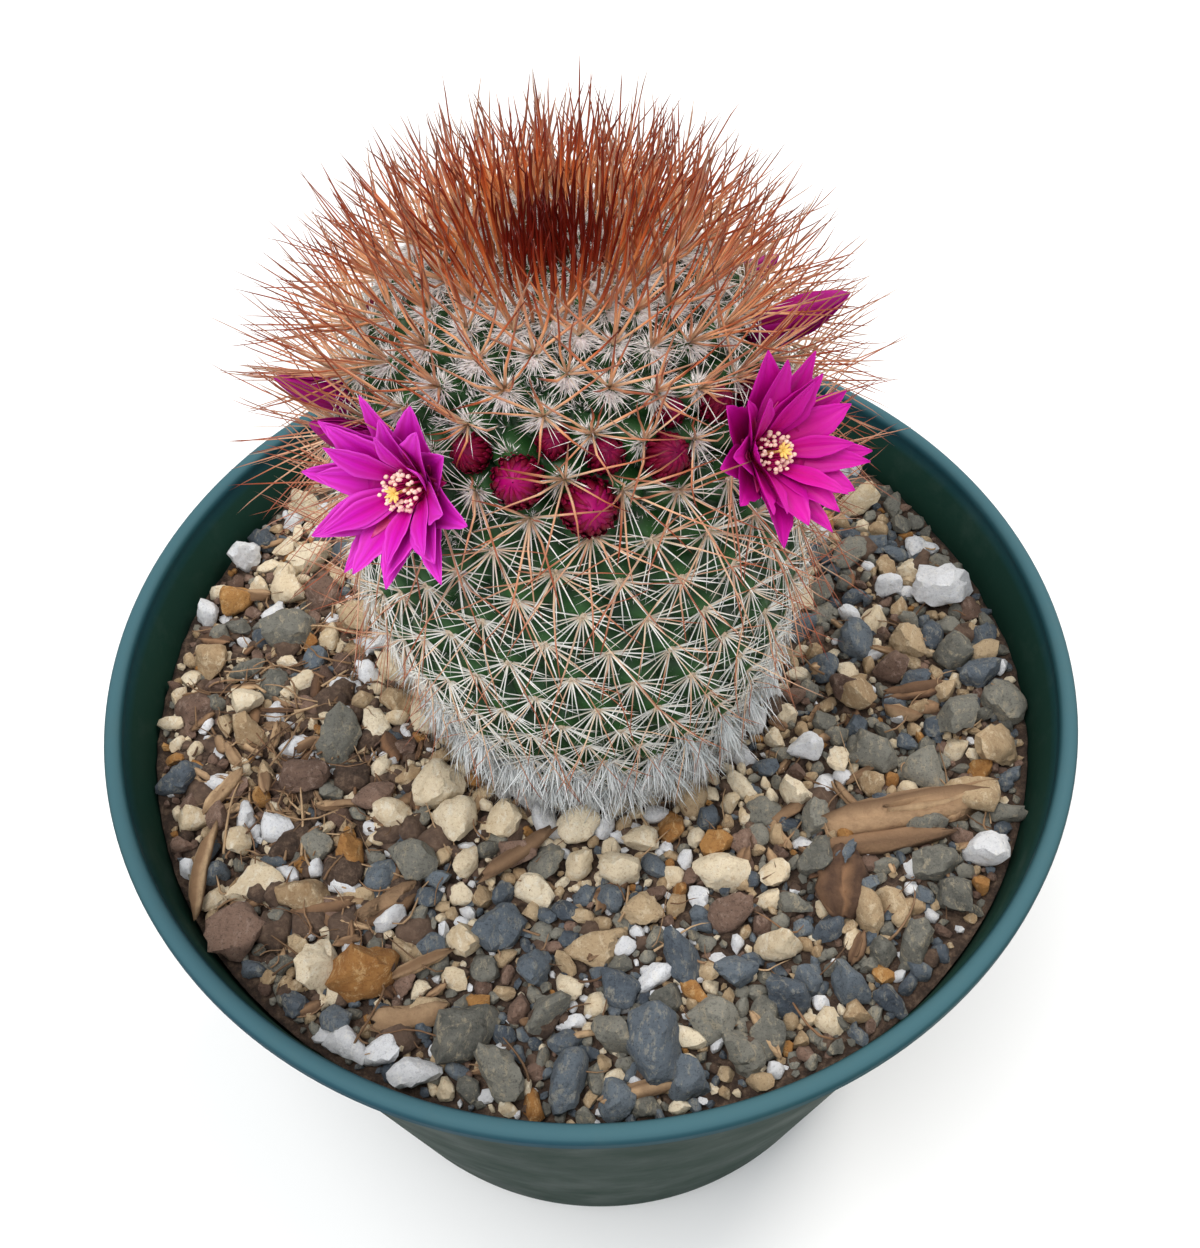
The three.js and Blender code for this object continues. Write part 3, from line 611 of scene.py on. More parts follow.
def stem_outline():
    """Distances down the surface from the crown, and for each the radius, height and outward normal."""
    widest = WIDEST_AT * STEM_HEIGHT
    upper = np.linspace(0, np.pi / 2, 2001)
    lower = np.linspace(0, 1, 1201)[1:]
    dome_radius = STEM_RADIUS * np.sin(upper) ** (2 / DOME_POWER)
    dome_height = (STEM_HEIGHT - widest) * np.maximum(np.cos(upper), 0) ** (2 / DOME_POWER)
    flank_radius = STEM_RADIUS - (STEM_RADIUS - STEM_FOOT_RADIUS) * lower**FLANK_POWER
    radius = np.concatenate([dome_radius, flank_radius])
    height = np.concatenate([widest + dome_height, widest * (1 - lower)])
    steps = np.hypot(np.diff(radius), np.diff(height))
    down = np.concatenate([[0], np.cumsum(steps)])
    even = np.linspace(0, down[-1], 1601)
    radius = np.interp(even, down, radius)
    height = np.interp(even, down, height)
    window = np.ones(9) / 9
    half = len(window) // 2
    along = [np.convolve(np.pad(np.gradient(a), half, "edge"), window, "valid") for a in (radius, height)]
    along = unit(np.stack(along, 1))
    return even, radius, height, -along[:, 1], along[:, 0]


OUTLINE = stem_outline()
OUTLINE_LENGTH = OUTLINE[0][-1]


def outline_at(down):
    return [np.interp(down, OUTLINE[0], column) for column in OUTLINE[1:]]


def stem_place(azimuth, down, lift=0.0):
    """Position, outward normal, sideways and upward vectors of places on the stem's smooth outline."""
    azimuth, down = np.broadcast_arrays(np.asarray(azimuth, float), np.asarray(down, float))
    radius, height, normal_out, normal_up = outline_at(down)
    angle = np.radians(azimuth)
    zero = np.zeros_like(angle)
    outward = np.stack([np.sin(angle), -np.cos(angle), zero], -1)
    out = outward * normal_out[..., None]
    out[..., 2] = normal_up
    side = np.stack([np.cos(angle), np.sin(angle), zero], -1)
    axis = STEM_FOOT + (STEM_CROWN - STEM_FOOT) * (height / STEM_HEIGHT)[..., None]
    centre = np.concatenate([axis, (SOIL_TOP + height)[..., None]], -1)
    position = centre + outward * radius[..., None] + out * np.asarray(lift)[..., None]
    return position, out, side, np.cross(out, side)


def leaning_place(azimuth, level, lift=0.0):
    """Like stem_place, with the level of the spiral, which leans to one side, in place of the way down."""
    lean = SPIRAL_LEAN * outline_at(level)[0] * np.sin(np.radians(azimuth))
    return stem_place(azimuth, level - lean, lift)


def areole_places(count):
    """Places of areoles on the spiral. count may be an array, and needn't be whole."""
    return leaning_place(SPIRAL_START + DIVERGENCE * count, AREOLE_STEP * count)


def height_down(height):
    return np.interp(-height, -OUTLINE[2], OUTLINE[0])


LAST_AREOLE = int(height_down(-0.5) / AREOLE_STEP)
AREOLES = np.arange(FIRST_AREOLE, LAST_AREOLE + 1)
AREOLE_POINTS, AREOLE_OUT, AREOLE_SIDE, AREOLE_UP = areole_places(AREOLES)
AREOLE_HEIGHT = AREOLE_POINTS[:, 2] - SOIL_TOP
# From 0 for the young areoles at the crown to 1 for the old ones below the flowers
AREOLE_AGE = smoothstep(AREOLES, 60, 190)


def bloom_seat(bloom):
    """Root and axis of a flower or bud, which grows in the axil above its areole."""
    row_turn = (DIVERGENCE * ROW_STEP) % 360
    row_turn = row_turn - 360 if row_turn > 180 else row_turn
    azimuth = SPIRAL_START + DIVERGENCE * bloom["areole"] - row_turn / 2 + bloom.get("aside", 0)
    level = AREOLE_STEP * (bloom["areole"] - ROW_STEP / 2) + bloom.get("lower", 0)
    root = leaning_place(azimuth, level, -BLOOM_DEPTH)[0]
    face = math.radians(bloom.get("face", azimuth))
    rise = math.radians(bloom["rise"])
    axis = [math.sin(face) * math.cos(rise), -math.cos(face) * math.cos(rise), math.sin(rise)]
    return root, np.array(axis)


def planted(points, bloom):
    """Moves points of a bloom made along +Z to where it grows."""
    root, axis = bloom_seat(bloom)
    turn = Matrix.Rotation(math.radians(bloom.get("turn", 0)), 3, "Z")
    return points @ np.array(rotation_from_up(axis) @ turn).T + root


def rotation_from_up(axis):
    """The shortest turn from +Z to an axis."""
    hinge = np.cross([0, 0, 1], axis)
    angle = math.atan2(np.linalg.norm(hinge), axis[2])
    return Matrix.Rotation(angle, 3, hinge.tolist()) if angle > 1e-6 else Matrix.Identity(3)


def clear_of_blooms(roots, tips):
    """Which needles miss the petals of the flowers and the bodies of the buds."""
    clear = np.ones(len(roots), bool)
    for name, bloom in {**OPEN_FLOWERS, **POINTED_BUDS, **ROUND_BUDS}.items():
        root, axis = bloom_seat(bloom)
        is_open = name in OPEN_FLOWERS
        length = FLOWER_LENGTH if is_open else bloom.get("length", bloom["width"] * BUD_LENGTH)
        for share in np.linspace(0.0, 1.0, 9):
            offset = roots + (tips - roots) * share - root
            along = offset @ axis
            aside = np.linalg.norm(offset - along[:, None] * axis, axis=1)
            if is_open:
                radius = 2.0 + np.maximum(0, along - 4) * 0.86
            else:
                radius = bloom["width"] / 2 * np.sin(np.pi * np.clip(along / length, 0.05, 0.95)) ** 0.5
            clear &= ~((along > 0.5) & (along < length) & (aside < radius + BLOOM_MARGIN))
    return clear


def over_blooms(roots, reach, out):
    """Lifts or shortens needles that would pierce a flower or bud. Returns tips, and which are clear."""
    size = np.linalg.norm(reach, axis=1, keepdims=True)
    tips = roots + reach
    fits = clear_of_blooms(roots, tips)
    for lift, part in WAYS_OVER:
        raised = roots + unit(reach / size + lift * out) * size * part
        tips = np.where(fits[:, None], tips, raised)
        fits = fits | clear_of_blooms(roots, tips)
    return tips, fits


def build_skin():
    """The green body with its tubercles: the outline, sunk where two areoles are equally near."""
    columns = int(2 * np.pi * STEM_RADIUS / SKIN_STEP)
    down = np.arange(0.35, OUTLINE_LENGTH + 1e-6, SKIN_STEP)
    azimuth = np.arange(columns) * 360 / columns
    surface, out, _, _ = stem_place(azimuth[None, :], down[:, None])
    flat = surface.reshape(-1, 3)
    nearest = np.full((len(flat), 2), 1e9)
    centres = areole_places(np.arange(LAST_AREOLE + ROW_STEP + 1))[0]
    # In batches, as all the distances at once would fill the memory
    for start in range(0, len(flat), 4096):
        batch = slice(start, start + 4096)
        distance = np.linalg.norm(flat[batch, None] - centres[None], axis=2)
        nearest[batch] = np.partition(distance, 1, axis=1)[:, :2]
    share = nearest[:, 0] / nearest[:, 1]
    relief = TUBERCLE_RELIEF * smoothstep(np.repeat(down, columns), 1.0, 16)
    drop = relief * (1 - np.sqrt(np.clip(1 - share**1.7, 0, 1)) ** 1.25)
    rings = [flat - out.reshape(-1, 3) * drop[:, None]]
    foot = rings[0][-columns:]
    for depth in np.arange(SKIN_STEP, ROOT_DEPTH, SKIN_STEP):
        ring = foot.copy()
        ring[:, :2] = STEM_FOOT + (foot[:, :2] - STEM_FOOT) * (1 - 0.25 * (depth / ROOT_DEPTH) ** 1.5)
        ring[:, 2] -= depth
        rings.append(ring)
    tips = [stem_place(0.0, 0.0)[0], [*STEM_FOOT, rings[-1][-1, 2]]]
    points = np.concatenate([*rings, tips])
    size = len(points) - len(tips)
    sides = grid_faces(size // columns, columns)[:, ::-1]
    bottom = cap_faces(size - columns, columns, size + 1)[:, ::-1]
    faces = np.concatenate([sides, cap_faces(0, columns, size), bottom])
    share = np.pad(share, (0, len(points) - len(share)), constant_values=1.0)
    height = points[:, 2] - SOIL_TOP
    add_piece(
        "stem_skin", points, faces, skin_material(), "cactus_skin", ["stem"],
        # Painted light on the tubercle tips and painted shade in the valleys between them
        crest=(1 - smoothstep(share, 0.1, 0.55)) * 0.6,
        valley=smoothstep(share, 0.72, 1.0) * 0.85,
        low=(1 - smoothstep(height, 8, 26)) * 0.55 * (1 - smoothstep(share, 0.15, 0.8)),
    )


def fan(rng, around, rise, length, jitter):
    """Reaches of the needles of each areole. around and rise are their mean angles in degrees."""
    turn = np.radians(around + rng.normal(0, jitter, around.shape))
    lift = np.radians(rise + rng.normal(0, jitter * 0.6, around.shape))
    direction = (
        AREOLE_OUT[:, None] * np.sin(lift)[..., None]
        + AREOLE_UP[:, None] * (np.cos(lift) * np.cos(turn))[..., None]
        - AREOLE_SIDE[:, None] * (np.cos(lift) * np.sin(turn))[..., None]
    )
    return direction * (length * rng.uniform(0.85, 1.12, around.shape))[..., None]


def rooted(reach, depth, start):
    """Roots, reaches and areole numbers of needles that start a little out from their areole."""
    roots = (AREOLE_POINTS - AREOLE_OUT * depth)[:, None] + unit(reach) * start
    return roots.reshape(-1, 3), reach.reshape(-1, 3), np.repeat(np.arange(len(AREOLES)), reach.shape[1])


def build_radials():
    """White spines, fine and all round a young areole, stouter and fanned out below an old one."""
    rng = np.random.default_rng(11)
    spread = np.interp(AREOLES, [100, 180], [150, 114])
    around = 180 + np.linspace(-1, 1, RADIALS) * spread[:, None]
    size = 0.60 + 0.40 * smoothstep(AREOLES, 60, 130)
    below = (1 - np.cos(np.radians(around))) / 2
    length = RADIAL_LENGTH * size[:, None] * (0.56 + 0.44 * below)
    roots, reach, every = rooted(fan(rng, around, 14.0, length, 5), 0.25, 0.45)
    tips, keep = over_blooms(roots, reach, AREOLE_OUT[every])
    roots, tips, every = roots[keep], tips[keep], every[keep]
    bends = AREOLE_OUT[every] * rng.uniform(0.0, 0.2, (len(roots), 1))
    thickness = np.interp(AREOLES, [70, 150], [0.07, 0.14])[every] * rng.uniform(0.85, 1.15, len(roots))
    points, faces, along = strands(roots, tips, thickness, bends, 3, FINE_RINGS)
    warm = on_needles(rng.random(len(roots)) ** 4 * 0.7, 3, FINE_RINGS)
    material = radial_material()
    add_piece("radial_spines", points, faces, material, "cactus_skin", ["stem"], along=along, tint=warm)


def build_centrals():
    """The brown spines: many and rust red near the crown, fewer, thinner and paler further down."""
    rng = np.random.default_rng(23)
    slots = len(YOUNG_CENTRALS)
    old = (AREOLES > rng.uniform(140, 185, len(AREOLES)))[:, None]
    young_around, young_steep = np.array(YOUNG_CENTRALS, float).T
    old_around, old_steep = np.array(OLD_CENTRALS, float).T
    around = np.where(old, old_around, young_around)
    young_number = np.interp(AREOLES, [40, 70, 110, 140, 185], [4.6, 6.6, 8.4, 8.2, 5.0])
    old_number = np.interp(AREOLES, [140, 200, 300, 400], [3.4, 2.2, 1.5, 1.3])
    # They stand closer on the sides and the back of the plant than on its sunny front
    facing = unit(AREOLE_OUT[:, :2])[:, 1]
    closer = 5.0 * smoothstep(facing, -0.78, -0.35) * (1 - smoothstep(AREOLES, 230, 330))
    number = np.where(old[:, 0], old_number, young_number) + closer
    length = np.interp(AREOLES, [36, 80, 140, 240, 330, 400], [11.5, 15.0, 17.0, 14.5, 12.5, 9.5])
    thick = np.interp(AREOLES, [0, 60, 130, 200, 400], [0.23, 0.20, 0.16, 0.12, 0.10])
    young = 1 - smoothstep(AREOLES, 60, 170)
    rise = np.where(old, old_steep, young_steep) * (1 + 0.1 * young[:, None]) + 18 * young[:, None]
    long = length[:, None] * rng.uniform(0.8, 1.05, around.shape)
    long = long * np.where(old & (rng.random(around.shape) < 0.55), 0.62, 1)
    reach = fan(rng, around, np.minimum(rise, 80), long, 13)
    size = np.linalg.norm(reach, axis=2, keepdims=True)
    reach = unit(reach / size + young[:, None, None] * YOUNG_LEAN) * size
    roots, reach, every = rooted(reach, 0.3, 0.3)
    tips, fits = over_blooms(roots, reach, AREOLE_OUT[every])
    present = np.arange(slots)[None] < number[:, None] + rng.uniform(-0.6, 0.6, around.shape)
    present &= (AREOLES >= FIRST_CENTRALS)[:, None]
    keep = fits & (tips[:, 2] > SOIL_TOP + 5) & present.ravel()
    roots, tips, every = roots[keep], tips[keep], every[keep]
    bends = rng.normal(0, 0.22, (len(roots), 3)) - young[every][:, None] * np.array([0, 0, 0.5])
    waves = rng.normal(0, 0.13, (len(roots), 3))
    thickness = thick[every] * rng.uniform(0.85, 1.15, len(roots))
    points, faces, along = strands(roots, tips, thickness, bends, 4, STOUT_RINGS, 0.4, waves)
    add_piece(
        "central_spines", points, faces, central_material(), "cactus_skin", ["stem"],
        along=along,
        tint=on_needles(rng.random(len(roots)) ** 2, 4, STOUT_RINGS),
        age=on_needles(AREOLE_AGE[every], 4, STOUT_RINGS),
        deep=on_needles(rng.random(len(roots)), 4, STOUT_RINGS),
    )


def build_crown_tuft():
    """Dark young needles, crowded on the crown, in a ring of lighter and longer ones."""
    rng = np.random.default_rng(5)
    count = 215
    down = 0.3 + 10.4 * ((np.arange(count) + 0.5) / count) ** 0.7
    azimuth = SPIRAL_START + GOLDEN_ANGLE * np.arange(count)
    position, _, side, _ = stem_place(azimuth, down, -0.8)
    outward = np.cross(side, [0, 0, 1.0])
    outer = down - 3.5
    lean = 0.045 * outer + 0.0046 * np.maximum(0, outer) ** 2 + rng.normal(0, 0.07, count)
    direction = np.array([0, 0.10, 1.0]) + outward * lean[:, None] + side * rng.normal(0, 0.07, (count, 1))
    length = rng.uniform(8.4, 10.4, count) + 3.4 * smoothstep(down, 5.0, 8.5)
    tips = position + unit(direction) * length[:, None]
    bends = outward * rng.normal(0.15, 0.25, (count, 1)) + side * rng.normal(0, 0.25, (count, 1))
    waves = rng.normal(0, 0.16, (count, 3))
    thickness = rng.uniform(0.20, 0.27, count)
    points, faces, along = strands(position, tips, thickness, bends, 4, STOUT_RINGS, 0.4, waves)
    rust = smoothstep(down + rng.normal(0, 0.8, count), 5.6, 8.6)
    add_piece(
        "crown_spines", points, faces, crown_material(), "cactus_skin", ["stem"],
        along=along,
        tint=on_needles(rust, 4, STOUT_RINGS),
        deep=on_needles(rng.random(count), 4, STOUT_RINGS),
    )


def build_felt():
    """A lumpy little cushion under the spines of each areole, white while it is young and tan later."""
    rng = np.random.default_rng(37)
    young = 1 - smoothstep(AREOLES, 80, 150)
    centres = AREOLE_POINTS - AREOLE_OUT * (0.4 + 0.5 * young)[:, None] - AREOLE_UP * 0.6 * young[:, None]
    dome, dome_faces = ball(4, 8, 0.0, np.pi / 2)
    wide, tall = 0.80 + 0.4 * young, 0.55 + 0.35 * young
    lumps = rng.uniform(0.82, 1.15, (len(centres), len(dome)))
    sizes = np.stack([wide, wide, tall], 1)[:, None] * dome[None] * lumps[..., None]
    axes = np.stack([AREOLE_SIDE, AREOLE_UP, AREOLE_OUT], 1)
    points = (centres[:, None] + sizes @ axes).reshape(-1, 3)
    faces = repeated(len(dome), dome_faces, len(centres))
    age = np.repeat(smoothstep(AREOLES, 90, 160), len(dome))
    add_piece("areole_felt", points, faces, felt_material(), "cactus_skin", age=age)


def areole_hairs(rng):
    """Roots, directions and lengths of the hairs that stand in a star round each young areole."""
    amount = np.interp(AREOLES, [24, 32, 105, 125, 150, 180], [30, 160, 150, 90, 50, 18]).astype(int)
    spots = np.repeat(np.arange(len(AREOLES)), amount)
    young = 1 - smoothstep(AREOLES[spots], 80, 175)
    turn = rng.uniform(0, 2 * np.pi, len(spots))[:, None]
    aside = AREOLE_SIDE[spots] * np.sin(turn) + AREOLE_UP[spots] * (np.cos(turn) - 0.35)
    fringe = (0.3 + 0.8 * young)[:, None] * rng.uniform(0.1, 1.2, (len(spots), 1))
    roots = AREOLE_POINTS[spots] - AREOLE_OUT[spots] * 0.4 + aside * fringe
    outs = AREOLE_OUT[spots] * 0.5 + aside * rng.uniform(0.4, 1.5, (len(spots), 1))
    return roots, outs, (0.7 + 1.5 * young) * rng.uniform(0.6, 1.2, len(spots))


def axil_hairs(rng):
    """The same for the hairs in the axils, which are woolly down to the flowers and here and there below."""
    axils = np.arange(24, LAST_AREOLE - 6)
    position, out, _, _ = areole_places(axils - ROW_STEP / 2)
    chance = np.interp(axils, [90, 150, 200, 240], [0.75, 0.75, 0.5, 0.3])
    woolly = rng.random(len(axils)) < chance
    amount = np.where(woolly, np.interp(axils, [120, 210], [62, 30]), 7).astype(int)
    spots = np.repeat(np.arange(len(axils)), amount)
    roots = position[spots] - out[spots] * (TUBERCLE_RELIEF - 0.7) + rng.normal(0, 0.8, (len(spots), 3))
    return roots, out[spots], rng.uniform(1.2, 2.6, len(spots)) * np.where(axils[spots] < 150, 1, 0.8)


def build_wool():
    """White wool on the young areoles and in the axils."""
    rng = np.random.default_rng(41)
    hairs = zip(areole_hairs(rng), axil_hairs(rng))
    roots, outs, lengths = (np.concatenate(pair) for pair in hairs)
    keep = clear_of_blooms(roots, roots + outs * lengths[:, None])
    roots, outs, lengths = roots[keep], outs[keep], lengths[keep]
    direction = unit(outs + rng.normal(0, 0.4, roots.shape))
    thickness = 0.10 * rng.uniform(0.7, 1.2, len(roots))
    tips = roots + direction * lengths[:, None]
    points, faces, _ = strands(roots, tips, thickness, rings=HAIR_RINGS)
    tint = on_needles(rng.random(len(roots)), 3, HAIR_RINGS)
    wool = wool_material("white_wool", (1.0, 0.91, 0.90))
    add_piece("axil_wool", points, faces, wool, "cactus_skin", tint=tint)


def build_base_bristles():
    """The long white bristles of the oldest areoles, which hang over the skin down to the soil."""
    rng = np.random.default_rng(53)
    low = np.flatnonzero(AREOLE_HEIGHT < 24)
    count = np.interp(AREOLE_HEIGHT[low], [0, 10, 15, 24], [86, 92, 66, 14]).astype(int)
    spots = np.repeat(low, count)
    size = (len(spots), 1)
    root = AREOLE_POINTS[spots] - AREOLE_OUT[spots] * 0.5 + rng.normal(0, 0.6, (len(spots), 3))
    direction = (
        AREOLE_OUT[spots] * rng.uniform(0.2, 0.8, size)
        + AREOLE_SIDE[spots] * rng.normal(0, 0.30, size)
        - AREOLE_UP[spots] * rng.uniform(0.7, 1.1, size)
    )
    tips = root + unit(direction) * rng.uniform(6.5, 11.0, size)
    tips[:, 2] = np.maximum(tips[:, 2], SOIL_TOP + rng.uniform(0.6, 3.4, len(spots)))
    bends = AREOLE_OUT[spots] * 0.4 + rng.normal(0, 0.22, (len(spots), 3))
    thickness = rng.uniform(0.10, 0.15, len(spots))
    points, faces, _ = strands(root, tips, thickness, bends, 3, FINE_RINGS, 0.45)
    tint = on_needles(rng.random(len(spots)), 3, FINE_RINGS)
    # White bristles whose faint blue is painted sky light.
    material = wool_material("pale_bristle", (0.95, 1.0, 1.0))
    add_piece("base_bristles", points, faces, material, "cactus_skin", tint=tint)


# Flowers and buds

PETAL_LAYERS = [
    dict(count=10, reach=11.1, rise=12.4, width=4.9, start=0, root=4.6, bend=(4.9, 7.4)),
    dict(count=9, reach=9.8, rise=13.8, width=4.5, start=18, root=5.4, bend=(4.4, 8.7)),
    dict(count=6, reach=8.0, rise=14.2, width=3.1, start=4, root=5.9, bend=(3.9, 9.3)),
]


def blade(path, widths, cup, columns, twist, sway):
    """A petal or scale: path is the [radius, height] of its midline, widths the half widths there."""
    path = np.asarray(path, float)
    along = unit(np.gradient(path, axis=0))
    face = np.stack([-along[:, 1], along[:, 0]], 1)
    across = np.linspace(-1, 1, columns)
    offset = widths[:, None] * cup * np.abs(across)[None] ** 1.5
    offset = offset + twist * widths[:, None] * across[None]
    points = np.zeros((len(path), columns, 3))
    points[..., 0] = path[:, None, 0] + face[:, None, 0] * offset
    points[..., 1] = widths[:, None] * across[None] + sway * np.linspace(0, 1, len(path))[:, None] ** 2
    points[..., 2] = path[:, None, 1] + face[:, None, 1] * offset
    return points


def bezier(first, middle, last, count):
    t = np.linspace(0, 1, count)[:, None]
    first, middle, last = (np.asarray(p, float) for p in (first, middle, last))
    return (1 - t) ** 2 * first + 2 * t * (1 - t) * middle + t**2 * last


def thick_sheet(grid, thickness):
    """Closes a grid of points into a thin solid. Returns its points and faces."""
    rows, columns = grid.shape[:2]
    normal = unit(np.cross(np.gradient(grid, axis=0), np.gradient(grid, axis=1)))
    rim = np.ones((rows, columns))
    rim[:, [0, -1]] = 0.25
    rim[[0, -1]] = 0.25
    shift = normal * (thickness / 2 * rim)[..., None]
    points = np.concatenate([(grid + shift).reshape(-1, 3), (grid - shift).reshape(-1, 3)])
    count = rows * columns
    front = grid_faces(rows, columns, closed=False)
    index = np.arange(count).reshape(rows, columns)
    loop = np.concatenate([index[0, :-1], index[:-1, -1], index[-1, :0:-1], index[:0:-1, 0]])
    following = np.roll(loop, -1)
    first = np.stack([following, loop, loop + count], 1)
    second = np.stack([following, loop + count, following + count], 1)
    return points, np.concatenate([front, front[:, ::-1] + count, first, second])


def across_sheet(values, rows):
    """One value for each column of a thick sheet, given to all its points."""
    return np.tile(values, 2 * rows)


class Pile:
    """Gathers the parts of one piece: their points, faces and attributes."""

    def __init__(self):
        self.points = []
        self.faces = []
        self.values = {}
        self.total = 0

    def add(self, points, faces, **values):
        self.points.append(points)
        self.faces.append(np.asarray(faces) + self.total)
        self.total += len(points)
        for key, value in values.items():
            self.values.setdefault(key, []).append(np.broadcast_to(np.asarray(value, float), len(points)))

    def piece(self, name, material, slot, replaces, bloom=None):
        """Makes the piece, planted as a flower or bud where it is one."""
        points = np.concatenate(self.points)
        points = planted(points, bloom) if bloom else points
        values = {key: np.concatenate(parts) for key, parts in self.values.items()}
        return add_piece(name, points, np.concatenate(self.faces), material, slot, [replaces], **values)


def blade_outline(t, start=0.34, point=0.62, taper=0.62):
    """Share of the full width along a petal or scale that is widest at point."""
    foot = start + (1 - start) * smoothstep(t, 0.0, point)
    return np.maximum(foot * np.clip((1 - t) / (1 - point), 0, 1) ** taper, 0.03)


def add_blade(
    pile, path, width, thickness, azimuth, cup, outline, twist=0.0, sway=0.0, columns=7, **values
):
    """Adds one pointed petal or scale to a pile."""
    rows = len(path)
    grid = blade(path, width / 2 * outline, cup, columns, twist, sway)
    points, faces = thick_sheet(grid, thickness)
    along = np.tile(np.repeat(np.linspace(0, 1, rows), columns), 2)
    across = np.linspace(-1, 1, columns)
    edge = across_sheet(smoothstep(np.abs(across), 0.35, 1.0), rows)
    ridges = across_sheet(0.5 + 0.5 * np.cos(across * 9), rows)
    pile.add(turned_about(points, azimuth), faces, along=along, edge=edge, vein=ridges, **values)


def build_flower(name, bloom):
    """An open flower: three layers of petals over a bowl, the tube below and the stamens inside."""
    rng = np.random.default_rng(bloom["seed"])
    petals = Pile()
    add_throat(petals, bloom["pale"])
    for layer in PETAL_LAYERS:
        for i in range(layer["count"]):
            azimuth = layer["start"] + 360 * i / layer["count"] + rng.normal(0, 5)
            add_petal(petals, rng, azimuth, layer, bloom["pale"])
    petals.piece(name + "_corolla", MATERIALS["petal"], "petal", name + "_petals", bloom)
    build_tube(name, bloom, rng)
    build_stamens(name, bloom, rng)


def add_petal(pile, rng, azimuth, layer, pale):
    """A petal of the layer's size, with its own ragged outline, bend, twist and sway."""
    tip = (layer["reach"] * rng.uniform(0.88, 1.06), layer["rise"] + rng.normal(0, 0.6))
    bend = (layer["bend"][0] + rng.normal(0, 0.3), layer["bend"][1] + rng.normal(0, 0.3))
    t = np.linspace(0, 1, 15)
    path = bezier((1.9, layer["root"]), bend, tip, len(t))
    path[:, 1] -= smoothstep(t, 0.7, 1.0) * rng.uniform(-0.7, 0.9)
    width = layer["width"] * rng.uniform(0.85, 1.08)
    ragged = 1 + 0.07 * rng.normal(0, 1, len(t)) * smoothstep(t, 0.45, 0.8)
    outline = blade_outline(t, 0.5, rng.uniform(0.52, 0.64), 0.74) * ragged
    twist = rng.normal(0, 0.12)
    sway = rng.normal(0, 0.5)
    cup = rng.uniform(0.25, 0.45)
    add_blade(pile, path, width, 0.16, azimuth, cup, outline, twist, sway, pale=pale)


def add_throat(pile, pale):
    """The bowl that the petals' broad feet make together round the stamens."""
    inside = bezier((0.9, 4.9), (2.3, 5.2), (4.3, 8.3), 8)
    outside = (inside - [0.0, 0.22])[::-1]
    profile = np.concatenate([inside, outside, inside[:1]])
    columns = 30
    along = np.repeat(np.interp(profile[:, 0], [0.9, 4.3], [0.0, 0.3]), columns)
    faces = grid_faces(len(profile), columns)
    pile.add(turned_profile(profile, columns), faces, along=along, edge=0, vein=0, pale=pale)


def build_tube(name, bloom, rng):
    """The flower's tube with the small sepals that clothe it."""
    pile = Pile()
    profile = bezier((1.5, 0.3), (1.3, 3.6), (2.7, 6.6), 9)
    inner = bezier((2.55, 6.6), (1.3, 4.4), (0.02, 3.6), 9)
    ring = np.concatenate([[[0.02, 0.3]], profile, inner])
    columns = 28
    along = np.repeat(np.linspace(0, 1, len(ring)), columns)
    pile.add(turned_profile(ring, columns), grid_faces(len(ring), columns), along=along, edge=0, vein=0)
    t = np.linspace(0, 1, 9)
    outline = blade_outline(t, point=0.4)
    for level in range(3):
        for i in range(8):
            azimuth = 45 * i + 22 * level + rng.normal(0, 4)
            start = 1.2 + 1.6 * level
            tip = (3.6 + 1.3 * level + rng.normal(0, 0.3), 6.2 + 1.9 * level + rng.normal(0, 0.4))
            path = bezier((1.35 + 0.2 * level, start), (2.1 + 0.5 * level, start + 2.8), tip, len(t))
            add_blade(pile, path, 1.5 + 0.25 * level, 0.16, azimuth, 0.2, outline, columns=5)
    pile.piece(name + "_tube", MATERIALS["sepal"], "petal", name + "_petals", bloom)


def build_stamens(name, bloom, rng):
    """Pink filaments with pale anthers round a short column with a star of stigma lobes."""
    pile = Pile()
    count = 52
    sphere, sphere_faces = ball(5, 8)
    lean = 0.7 + 1.75 * np.sqrt((np.arange(count) + 0.5) / count)
    angle = np.radians(GOLDEN_ANGLE * np.arange(count)) + rng.normal(0, 0.14, count)
    height = 9.5 - 0.5 * lean + rng.normal(0, 0.35, count)
    x, y = lean * np.cos(angle), lean * np.sin(angle)
    tips = np.stack([x, y, height], 1)
    roots = np.stack([0.55 * x, 0.55 * y, np.full(count, 4.7)], 1)
    points, faces, _ = strands(roots, tips, np.full(count, 0.11), None, 4, (0.0, 0.5))
    pile.add(points, faces, pink=1, gold=0)
    for tip in tips:
        size = rng.uniform(0.26, 0.35)
        stretch = np.array([size, size * 0.85, size * rng.uniform(0.8, 1.1)])
        pile.add(sphere * stretch + tip, sphere_faces, pink=0, gold=0)
    column, column_faces, _ = strands(
        np.array([[0, 0, 4.4]]), np.array([[0, 0, 10.0]]), np.array([0.36]), None, 8, (0.0, 0.5, 0.9)
    )
    pile.add(column, column_faces, pink=0.2, gold=1)
    lobes = 8
    for i in range(lobes):
        lobe = bent_lobe(sphere, rng)
        pile.add(turned_about(lobe, 360 / lobes * i + rng.normal(0, 5)), sphere_faces, pink=0, gold=1)
    pile.piece(name + "_anthers", MATERIALS["stamen"], "stamen", name + "_stamens", bloom)


def bent_lobe(sphere, rng):
    """A lobe of the stigma, which leans outward from the top of its column."""
    lobe = sphere * np.array([0.24, 0.21, 0.62])
    lean = math.radians(rng.uniform(38, 58))
    turn = np.array([[math.cos(lean), 0, math.sin(lean)], [0, 1, 0], [-math.sin(lean), 0, math.cos(lean)]])
    return lobe @ turn.T + np.array([0.55, 0, 9.75])


